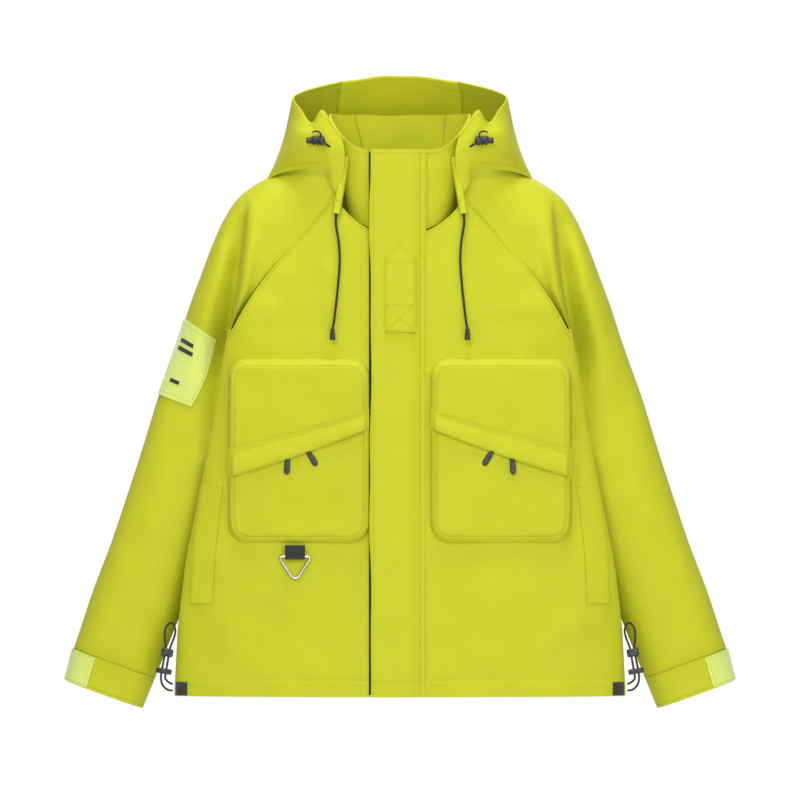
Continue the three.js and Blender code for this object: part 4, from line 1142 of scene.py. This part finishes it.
def rounded_box(name, size, centre, turn=(0, 0, 0), radius=1.2, waist=0.0, holes=()):
    """A moulded block with round edges, pinched at its middle by waist, with dimples for its cord."""
    mesh = bmesh.new()
    bmesh.ops.create_cube(mesh, size=1)
    bmesh.ops.subdivide_edges(mesh, edges=mesh.edges, cuts=5, use_grid_fill=True)
    w, d, h = size
    for vertex in mesh.verts:
        x, y, z = vertex.co
        pinch = 1 - waist * math.exp(-((z * 4) ** 2))
        point = [x * w * pinch, y * d * pinch, z * h]
        for k, length in enumerate((w, d, h)):
            limit = length / 2 - radius
            point[k] = max(-limit, min(limit, point[k]))
        core = Vector(point)
        push = Vector([(x, y, z)[k] * (w, d, h)[k] - core[k] for k in range(3)])
        if push.length > 1e-9:
            push = push.normalized() * radius
        vertex.co = core + push
    for vertex in mesh.verts:
        for hole_x, hole_radius in holes:
            near = math.hypot(vertex.co.x - hole_x, vertex.co.y) < hole_radius
            if abs(vertex.co.z) > h / 2 - radius and near:
                vertex.co.z *= 0.6
    turn_x, turn_y, turn_z = (Matrix.Rotation(angle, 4, axis) for angle, axis in zip(turn, "XYZ"))
    matrix = turn_z @ turn_y @ turn_x
    place_at = Vector(place(centre))
    for vertex in mesh.verts:
        vertex.co = place_at + (matrix @ vertex.co) / 1000
    data = bpy.data.meshes.new(name)
    mesh.to_mesh(data)
    mesh.free()
    obj = new_object(name, data)
    modifier = obj.modifiers.new("round", "SUBSURF")
    modifier.levels = 1
    apply_modifiers(obj)
    return obj


FRONT_SLIDER_Z = 756


def front_zip():
    run = np.linspace(3, COLLAR_TOP_Z - 4, 60)
    line = np.stack([0 * run + ZIP_X, front_line_y(run) - 0.8, run], 1)
    coil_zip("front_zip_chain", line, 11, "root", "front_zip")
    y = front_line_y(FRONT_SLIDER_Z)
    centre = (ZIP_X, y - 3.2, FRONT_SLIDER_Z)
    slider = rounded_box("front_slider_body", (9, 3.4, 11), centre, radius=1.4, waist=0.2)
    finish_piece(slider, "black", "front_slider", "front_zip_slider")
    pull_y = front_line_y(FRONT_SLIDER_Z - 14) - 6.2
    top = (ZIP_X - 2.3, pull_y, FRONT_SLIDER_Z + 1)
    pull = rubber_pull("front_pull_tab", top, (0, -0.03, -1), 30, 4.6, 1.9)
    finish_piece(pull, "rubber", "front_pull", "front_zip_pull")


def rubber_pull(name, top, direction, length, width, depth):
    """A moulded pull: narrow at its eye, full and round at its lower end, with a rib down its face."""
    direction = np.asarray(direction, float) / np.linalg.norm(direction)
    side = np.cross(direction, (0, 1, 0))
    side /= np.linalg.norm(side)
    out = np.cross(side, direction)
    share = (1 - np.cos(np.linspace(0, math.pi, 30))) / 2
    body = np.interp(share, [0, 0.12, 0.3, 0.8, 0.93, 1], [0.4, 0.72, 0.86, 1, 0.78, 0.05])
    thick = np.interp(share, [0, 0.1, 0.4, 0.9, 1], [0.5, 0.8, 0.9, 1, 0.1])
    angle = np.linspace(0, 2 * math.pi, 24, endpoint=False)
    across = np.sign(np.cos(angle)) * np.abs(np.cos(angle)) ** 0.7
    face = np.sign(np.sin(angle)) * np.abs(np.sin(angle)) ** 0.7
    groove = 1 - 0.22 * np.exp(-((across / 0.35) ** 2)) * (np.abs(share - 0.55) < 0.25)[:, None]
    ring = (body[:, None] * across[None] * width / 2)[..., None] * side
    ring = ring + (thick[:, None] * face[None] * groove * depth / 2)[..., None] * out
    points = np.asarray(top) + direction * (share * length)[:, None, None] + ring
    vertices = points.reshape(-1, 3)
    faces = grid_faces(30, 24, closed=True)
    faces += [list(range(24))[::-1], [len(vertices) - 24 + k for k in range(24)]]
    obj = mesh_object(name, vertices, faces)
    orient_outwards(obj)
    return obj


# ------------------------------------------------------------------ chest pockets
POCKET_INNER = 43
POCKET_OUTER = 241
POCKET_BOTTOM_Z = 216
POCKET_TOP_Z = 474
POCKET_MIDDLE = ((POCKET_INNER + POCKET_OUTER) / 2, (POCKET_BOTTOM_Z + POCKET_TOP_Z) / 2)
POCKET_HALF = ((POCKET_OUTER - POCKET_INNER) / 2, (POCKET_TOP_Z - POCKET_BOTTOM_Z) / 2)
POCKET_CORNER = 26
ZIP_SLOPE = 0.32
PIPING_INSET = 5.6


def pocket_face_y(x):
    return -119 + 18 * (np.abs(x) - POCKET_INNER) / (POCKET_OUTER - POCKET_INNER)


def pocket_zip_z(x):
    return 318 + ZIP_SLOPE * (POCKET_OUTER - np.abs(x))


def pocket_outline(inset, count=240):
    """The pocket's round-cornered outline, drawn in by inset."""
    w, h = POCKET_HALF[0] - inset, POCKET_HALF[1] - inset
    radius = max(POCKET_CORNER - inset * 0.6, 4)
    radius = min(radius, w * 0.98, h * 0.98)
    points = []
    for cx, cz, start in ((w - radius, h - radius, 0), (-w + radius, h - radius, 90),
                          (-w + radius, -h + radius, 180), (w - radius, -h + radius, 270)):
        for angle in np.radians(np.linspace(start, start + 90, 24)):
            points.append((cx + radius * math.cos(angle), cz + radius * math.sin(angle)))
    points.append(points[0])
    points = np.array(points)
    run = np.concatenate([[0], np.cumsum(np.hypot(*np.diff(points, axis=0).T))])
    at = np.linspace(0, run[-1], count, endpoint=False)
    return np.stack([np.interp(at, run, points[:, 0]), np.interp(at, run, points[:, 1])], 1)


def pocket_point(side, xz, inset):
    """The pouch's skin: a wall that rolls over into the face, softly at the top and crisply at the sides."""
    x = POCKET_MIDDLE[0] + xz[:, 0]
    z = POCKET_MIDDLE[1] + xz[:, 1]
    steep = np.clip(np.abs(xz[:, 1]) / POCKET_HALF[1], 0, 1) ** 8
    reach = mix(5.0, 24.0, steep)
    rise = np.clip(inset / reach, 0, 1)
    profile = np.sqrt(np.clip(1 - (1 - rise) ** 2.4, 0, 1))
    base = front_skin(side * x, z) + 0.8
    points = np.stack([side * x, 0 * x, z], -1)
    crown = 2.6 * (1 - (xz[:, 0] / POCKET_HALF[0]) ** 2) * (1 - (xz[:, 1] / POCKET_HALF[1]) ** 2)
    wave = 0.9 * ripples(points, 71 + side, 90, (1, 0, 0.8)) * np.clip(inset / 14, 0, 1)
    below = ease((pocket_zip_z(x) - z) / 6)
    sag = 1.5 * crease(x, z, (60, 340), (225, 240), 30, 1.0) * below
    face = pocket_face_y(x) - crown * 0.35 - wave * 0.8 - sag
    dent = 0.9 * np.exp(-(((inset - PIPING_INSET - 2.6) / 1.3) ** 2)) * (1 - steep)
    return np.stack([side * x, mix(base, face, profile) + dent * profile, z], -1)


POCKET_INSETS = [
    0, 0.2, 0.5, 1, 1.6, 2.4, 3.4, 4.6, 5.6, 6.8, 8.2, 10, 12, 15, 18, 22, 27, 33, 40, 48, 57, 66, 75, 84, 92,
]
POCKET_STITCH_INSET = 9.4


def chest_pocket(name, side):
    rings = [pocket_point(side, pocket_outline(inset), inset) for inset in POCKET_INSETS]
    count = len(rings[0])
    floor_ring = rings[0] + np.array([0, 2.0, 0])
    vertices = np.concatenate([floor_ring] + rings)
    faces = grid_faces(len(rings) + 1, count, closed=True)
    last = len(vertices) - count
    half = count // 2
    for k in range(half - 1):  # the middle closes with quads across its long narrow ring
        faces.append([last + k, last + k + 1, last + count - 2 - k, last + count - 1 - k])
    faces.append(list(range(count))[::-1])
    obj = mesh_object(f"pocket_pouch_{name}", vertices, faces)
    orient_outwards(obj)
    finish_piece(obj, "shell", "root", f"chest_pocket_{name}")
    ring = pocket_point(side, pocket_outline(PIPING_INSET, 500), PIPING_INSET)
    along_side = np.abs(pocket_outline(PIPING_INSET, 500)[:, 1]) < POCKET_HALF[1] - 9
    pieces = []
    for keep in (ring[:, 0] * side > POCKET_MIDDLE[0], ring[:, 0] * side <= POCKET_MIDDLE[0]):
        part = ring[keep & along_side]
        part = part[np.argsort(part[:, 2])] + np.array([0, -0.2, 0])
        pieces.append(part)
    for k, part in enumerate(pieces):
        finish_piece(tube(f"pocket_piping_{name}_{k}", part[::2], 1.0, 8), "shell", "root")
    outline = pocket_outline(POCKET_STITCH_INSET, 500)
    line = pocket_point(side, outline, POCKET_STITCH_INSET)[::3] + (0, -0.25, 0)
    loop = np.vstack([line, line[:1]])
    finish_piece(stitches(f"pocket_stitches_{name}", [loop], 0.2), "thread", "root")


def flap_band(side, x, share, lift=0.0):
    """The band over the pocket's zip: share 0 is its sewn upper edge and 1 its free lower edge."""
    top = 348.6 + 0.271 * (POCKET_OUTER - x)
    low = 309 + 0.345 * (236 - x) - 3.0 * np.sin((x - 45) / 196 * math.pi)
    z = mix(top, low, share)
    points = np.stack(np.broadcast_arrays(side * x, 0 * x, z), -1).astype(float)
    stand = mix(1.9, 6.6, ease(share * 1.25)) + 0.5 * ripples(points, 75, 45, (1, 0, 1)) * share
    ends = ease(np.minimum(x - POCKET_INNER, POCKET_OUTER - x) / 9)
    seam = 0.7 * np.exp(-(((share - 0.15) / 0.035) ** 2))
    seam = seam + 0.9 * np.exp(-(((share - 0.02) / 0.03) ** 2))
    roll = 1.4 * np.exp(-(((share - 1) / 0.03) ** 2))
    y = pocket_face_y(x) - stand * ends + seam + roll + 3.5 * (1 - ends) - lift
    return np.stack(np.broadcast_arrays(side * x, y, z), -1)


def pocket_flap(name, side):
    x = np.linspace(POCKET_INNER + 0.5, POCKET_OUTER - 0.5, 150)[None]
    share = np.linspace(0, 1, 50)[:, None]
    grid = flap_band(side, x, share)
    obj = sheet_object(f"pocket_flap_cloth_{name}", grid, (side * 142, 50, 360), 1.7)
    finish_piece(obj, "shell", f"pocket_flap_{name}", f"pocket_flap_{name}")
    run = np.linspace(POCKET_INNER + 4, POCKET_OUTER - 4, 120)
    lines = [flap_band(side, run, 0 * run + at, 0.15) for at in (0.05, 0.2, 0.93)]
    finish_piece(stitches(f"pocket_flap_stitches_{name}", lines), "thread", f"pocket_flap_{name}")


PULL_PLACES = (("inner", 131, (0.52, 0.04, -0.86)), ("outer", 157, (-0.06, 0.03, -1)))


def pocket_zip(name, side):
    x = np.linspace(POCKET_INNER + 9, POCKET_OUTER - 9, 80)
    line = np.stack([side * x, pocket_face_y(x) - 1.6, pocket_zip_z(x)], 1)
    coil_zip(f"pocket_zip_chain_{name}", line, 8, "root", f"pocket_zip_{name}", 1.1, 2.0)
    for place_name, at, lean in PULL_PLACES:
        key = f"{name}_{place_name}"
        y, z = pocket_face_y(at), pocket_zip_z(at)
        centre = (side * at, y - 3.4, z - 2)
        slider = rounded_box(f"pocket_slider_body_{key}", (8, 3, 9), centre, radius=1.2, waist=0.2)
        finish_piece(slider, "black", f"pocket_slider_{key}", f"pocket_slider_{key}")
        direction = (-side * lean[0], lean[1], lean[2])
        top = (side * at, y - 4.6, z - 5.5)
        pull = rubber_pull(f"pocket_pull_grip_{key}", top, direction, 28, 8.8, 3.6)
        finish_piece(pull, "rubber", f"pocket_pull_{key}", f"pocket_pull_{key}")


# ------------------------------------------------------------------ hand pockets, ring, hem and locks
WELT_BOTTOM_Z = 128
WELT_TOP_Z = 296
WELT_WIDTH = 33


def welt_outer_x(z):
    return np.interp(z, [WELT_BOTTOM_Z, 199, 244, 281, WELT_TOP_Z], [295.5, 292.5, 287.5, 283.5, 281])


def hand_pocket(name, side):
    z = np.linspace(WELT_BOTTOM_Z, WELT_TOP_Z, 140)[:, None]
    share = np.linspace(0, 1, 30)[None]
    x = welt_outer_x(z) - WELT_WIDTH * (1 - share)
    lift = 0.4 + 3.4 * share**1.5 - 1.2 * np.exp(-(((share - 1) / 0.05) ** 2))
    lift = lift * ease((z - WELT_BOTTOM_Z) / 3) * ease((WELT_TOP_Z - z) / 3)
    obj = sheet_object(f"welt_cloth_{name}", on_front(side * x, z, lift), (0, 100, 200), 1.5)
    finish_piece(obj, "shell", "root", f"hand_pocket_welt_{name}")
    run = np.linspace(WELT_BOTTOM_Z + 2, WELT_TOP_Z - 2, 60)
    lines = [on_front(side * (welt_outer_x(run) - WELT_WIDTH), run, 0.9)]
    for end in (WELT_BOTTOM_Z + 1.6, WELT_TOP_Z - 1.6):
        across = np.linspace(0, 1, 12)
        at = welt_outer_x(end) - WELT_WIDTH * (1 - across)
        lines.append(on_front(side * at, end + 0 * at, 0.8 + 3.0 * across**1.5))
    finish_piece(stitches(f"welt_stitches_{name}", lines), "thread", "root")


RING_X = 147
RING_PIVOT_Z = 196


def ring_pivot_y():
    edge = edge_y(RING_PIVOT_Z)
    return float(edge - (edge - front_line_y(RING_PIVOT_Z)) * bulge(RING_X, RING_PIVOT_Z)) - 4.4 - 2.2


def ring_and_webbing():
    y = ring_pivot_y()
    turns = np.linspace(0, 1.5 * math.pi, 30)
    loop = [(y + 3.4 * math.cos(a), RING_PIVOT_Z - 3.4 * math.sin(a)) for a in turns[:20]]
    rise = [(y - 3.4, 198), (y - 3.0, 204), (y - 2.2, 211), (y - 0.8, 212.8)]
    profile = [(y + 3.4, 212.5), (y + 3.4, 204)] + loop + rise
    profile = catmull(np.array([(0, a, b) for a, b in profile]), 4)[:, 1:]
    x = np.linspace(-RING_X - 14, -RING_X + 14, 34)
    ribs = 0.28 * np.cos((profile[:, 1] - RING_PIVOT_Z) * 2 * math.pi / 4.2)
    grid = np.stack(np.broadcast_arrays(x[None], profile[:, :1], profile[:, 1:]), -1)
    front = grid[..., 1] < y
    grid[..., 1] -= np.where(front, ribs[:, None], 0)
    obj = sheet_object("ring_webbing_strip", grid, (-RING_X, y, RING_PIVOT_Z + 6), 1.2)
    finish_piece(obj, "webbing", "root", "ring_webbing")
    corner = [(-20.5, 1.6), (20.5, 1.6), (20.8, -1.6), (3.4, -28.6), (-3.4, -28.6), (-20.8, -1.6)]
    line = line_points([(-RING_X + a, y, RING_PIVOT_Z - 1 + b) for a, b in corner + corner[:1]], 1.2)
    smooth = line.copy()
    for _ in range(4):
        smooth = (np.roll(smooth[:-1], 1, axis=0) + smooth[:-1] * 2 + np.roll(smooth[:-1], -1, axis=0)) / 4
        smooth = np.vstack([smooth, smooth[:1]])
    ring = tube("triangle_ring_wire", smooth, 1.7, 14, cap=False)
    finish_piece(ring, "nickel", "ring", "triangle_ring")


LOCK_AT = (114.5, -88.5, 780)
LOCK_LENGTH = 17


def hood_lock(name, side):
    x, y, z = LOCK_AT
    start = (side * (x - LOCK_LENGTH / 2), y, z)
    profile = [(0.1, 0), (4.6, 0), (5.6, 0.8), (6.3, 2.4), (6.4, 5), (5.7, 6), (5.7, 7.2), (6.4, 8.2), (6.4, 10),
               (5.7, 11), (5.7, 12.2), (6.4, 13.2), (6.2, 15.8), (5.6, 17), (5, 17), (5, 14)]
    body = lathe(f"hood_lock_barrel_{name}", profile, start, (side, 0, 0))
    finish_piece(body, "black", "hood", f"hood_lock_{name}")
    button_start = (side * (x - LOCK_LENGTH / 2 + 6), y, z)
    cap = [(0.1, 0), (3.8, 0), (4.3, 1), (4.3, 13), (4.0, 14), (4.4, 15), (4.4, 18), (3.6, 19.2), (0.1, 19.5)]
    button = lathe(f"hood_lock_cap_{name}", cap, button_start, (side, 0, 0))
    finish_piece(button, "black", f"hood_button_{name}", f"hood_lock_button_{name}")
    eye_at = (side * (x - 4), y - 0.5, z + 0.5)
    eye = rounded_box(f"hood_lock_eye_{name}", (10, 7, 11), eye_at, (0, side * 0.5, 0), 2.2)
    finish_piece(eye, "black", "hood")
    angle = np.linspace(0.2 * math.pi, 1.85 * math.pi, 26)
    ring_x = side * (x + 3 + 6.5 * np.cos(angle))
    ring = np.stack([ring_x, y - 4 + 0 * angle, z + 7.5 + 5.5 * np.sin(angle)], 1)
    finish_piece(tube(f"hood_lock_loop_{name}", ring, 1.2, 10), "cord", "hood")
    disc_profile = [(0.1, 0), (4.6, 0), (5.2, 0.8), (5.2, 2.2), (4.4, 3), (0.1, 3.2)]
    disc = lathe(f"hood_lock_disc_{name}", disc_profile, (side * 109.5, y - 6.2, z - 2), (0, -1, 0))
    finish_piece(disc, "black", "hood")


def cord_end(name, side):
    x, y, z = HOOD_CORD_PATH[-1]
    profile = [(0.1, 0), (2.2, 0), (2.9, 1), (3.2, 3), (3.0, 4), (3.3, 5), (4.0, 12), (4.2, 14.5),
               (3.6, 16), (0.1, 16.2)]
    obj = lathe(f"cord_end_barrel_{name}", profile, (side * x, y, z), (0, 0, -1))
    return finish_piece(obj, "black", "root", f"cord_end_{name}")


HEM_LOCK_Z = 35
HEM_KEEPER_Z = 61
HEM_TAB_X = (299, 315.5)
HEM_TAB_Z = (1, 20)


def hem_hardware(name, side):
    lean = side * math.atan2(-6.5, 38)
    for label, size, z, body in (("lock", (22, 9, 8), HEM_LOCK_Z, f"hem_lock_{name}"),
                                 ("keeper", (17, 8, 12), HEM_KEEPER_Z, "root")):
        middle = (side * (strand_x(z) + STRAND_STEP / 2), HEM_CORD_Y, z)
        obj = rounded_box(f"hem_{label}_body_{name}", size, middle, (0, lean, 0), 2.0, 0.12,
                          ((-3, 2.4), (3, 2.4)))
        finish_piece(obj, "black", body, f"hem_{label}_{name}")
    x = np.linspace(*HEM_TAB_X, 30)[None]
    z = np.linspace(*HEM_TAB_Z, 30)[:, None]
    round_x = np.abs(x - 307.2) / 8.25
    round_z = np.abs(z - 10.5) / 9.5
    lift = 2.6 * np.clip(1 - np.maximum(round_x, round_z) ** 10, 0, 1) ** 0.5 + 0.6
    rim = np.hypot(x - 309.5, z - 10.5)
    lift = lift + 0.9 * np.exp(-(((rim - 3.6) / 0.9) ** 2)) - 2.2 * np.exp(-((rim / 1.9) ** 4))
    tab = sheet_object(f"hem_tab_block_{name}", on_front(side * x, z, lift), (0, 100, 10), 1.0)
    finish_piece(tab, "webbing", "root", f"hem_tab_{name}")


def declare_cords(ends):
    for name, (hood_cord, hood_line, hem_cord, hem_line) in CORDS.items():
        for piece in (hood_cord, hem_cord):
            finish_piece(piece, "cord", "root")


def seam_stitches():
    for name, side in SIDES:
        share = np.linspace(0.02, 0.98, 160)
        x, z = raglan_seam(share)
        lines = [on_front(side * (x - 2.4), z - 1.8, 0.25)]
        neck_x = np.linspace(40, NECK_CORNER_X - 2, 40)
        lines.append(on_front(side * neck_x, neck_height(neck_x) - 3.0, 0.3))
        hem_x = np.linspace(38, HEM_HALF - 22, 150)
        lines.append(on_front(side * hem_x, 0 * hem_x + HEM_SEAM_Z, -0.3))
        finish_piece(stitches(f"front_stitches_{name}", lines), "thread", "root")


def webbing_on_loop():
    loop = bpy.data.objects["hang_loop"]
    loop.data.materials.clear()
    loop.data.materials.append(MATERIALS["webbing"])


# ------------------------------------------------------------------ light and stage
def area_light(name, at, size, power):
    data = bpy.data.lights.new(name, "AREA")
    data.shape = "SQUARE"
    data.size = size
    data.energy = power
    light = new_object(name, data)
    light.location = at
    light.rotation_euler = (Vector(LIGHT_AIM) - Vector(at)).to_track_quat("-Z", "Y").to_euler()


AMBIENT = 0.38
LIGHTS = (  # name, place, size and power, in metres and watts
    ("key", (-0.7, -3.2, 1.7), 2.0, 46), ("fill", (0.8, -3.2, -0.5), 2.0, 33),
    ("top", (0, -0.5, 2.4), 1.2, 46), ("rear", (0.5, 3.2, 1.4), 2.2, 40),
)
LIGHT_AIM = (0, 0, -0.35)


def light_the_scene():
    world = bpy.data.worlds.new("studio")
    bpy.context.scene.world = world
    world.use_nodes = True
    tree = world.node_tree
    tree.nodes.clear()
    output = tree.nodes.new("ShaderNodeOutputWorld")
    choose = tree.nodes.new("ShaderNodeMixShader")
    rays = tree.nodes.new("ShaderNodeLightPath")
    for k, strength in enumerate((AMBIENT, 1.0)):
        background = tree.nodes.new("ShaderNodeBackground")
        background.inputs[0].default_value = (1, 1, 1, 1)
        background.inputs[1].default_value = strength
        tree.links.new(background.outputs[0], choose.inputs[1 + k])
    tree.links.new(rays.outputs["Is Camera Ray"], choose.inputs[0])
    tree.links.new(choose.outputs[0], output.inputs[0])
    for name, at, size, power in LIGHTS:
        area_light(name, at, size, power)
    bpy.context.scene.view_settings.view_transform = "Standard"


FLOOR_Z = -1.9
FLOOR_HALF = 3.0


def make_floor():
    corners = [(x * FLOOR_HALF, y * FLOOR_HALF, FLOOR_Z) for x, y in ((-1, -1), (1, -1), (1, 1), (-1, 1))]
    mesh = bpy.data.meshes.new("floor")
    mesh.from_pydata(corners, [], [(0, 1, 2, 3)])
    floor = new_object("floor", mesh)
    n = Nodes("floor_paint")
    n.colour(n.noise(3, 2), (0.84, 0.84, 0.84, 1), (0.9, 0.9, 0.9, 1))
    n.set(Roughness=0.9)
    mesh.materials.append(n.material)


# ------------------------------------------------------------------ the whole jacket
for side_name, side_sign in SIDES:
    front_panel(side_name, side_sign)
    side_cloth(side_name, side_sign)
    sleeve(side_name, side_sign)
    cuff_tab(side_name, side_sign)
    chest_pocket(side_name, side_sign)
    pocket_flap(side_name, side_sign)
    pocket_zip(side_name, side_sign)
    hand_pocket(side_name, side_sign)
    hood_lock(side_name, side_sign)
    hem_hardware(side_name, side_sign)
back()
sleeve_patch()
hood()
neck_yoke()
neck_sides()
collar()
cord_tunnels()
storm_flap()
chest_tab()
front_zip()
ring_and_webbing()
seam_stitches()
webbing_on_loop()
declare_cords({side_name: cord_end(side_name, side_sign) for side_name, side_sign in SIDES})
light_the_scene()
make_floor()
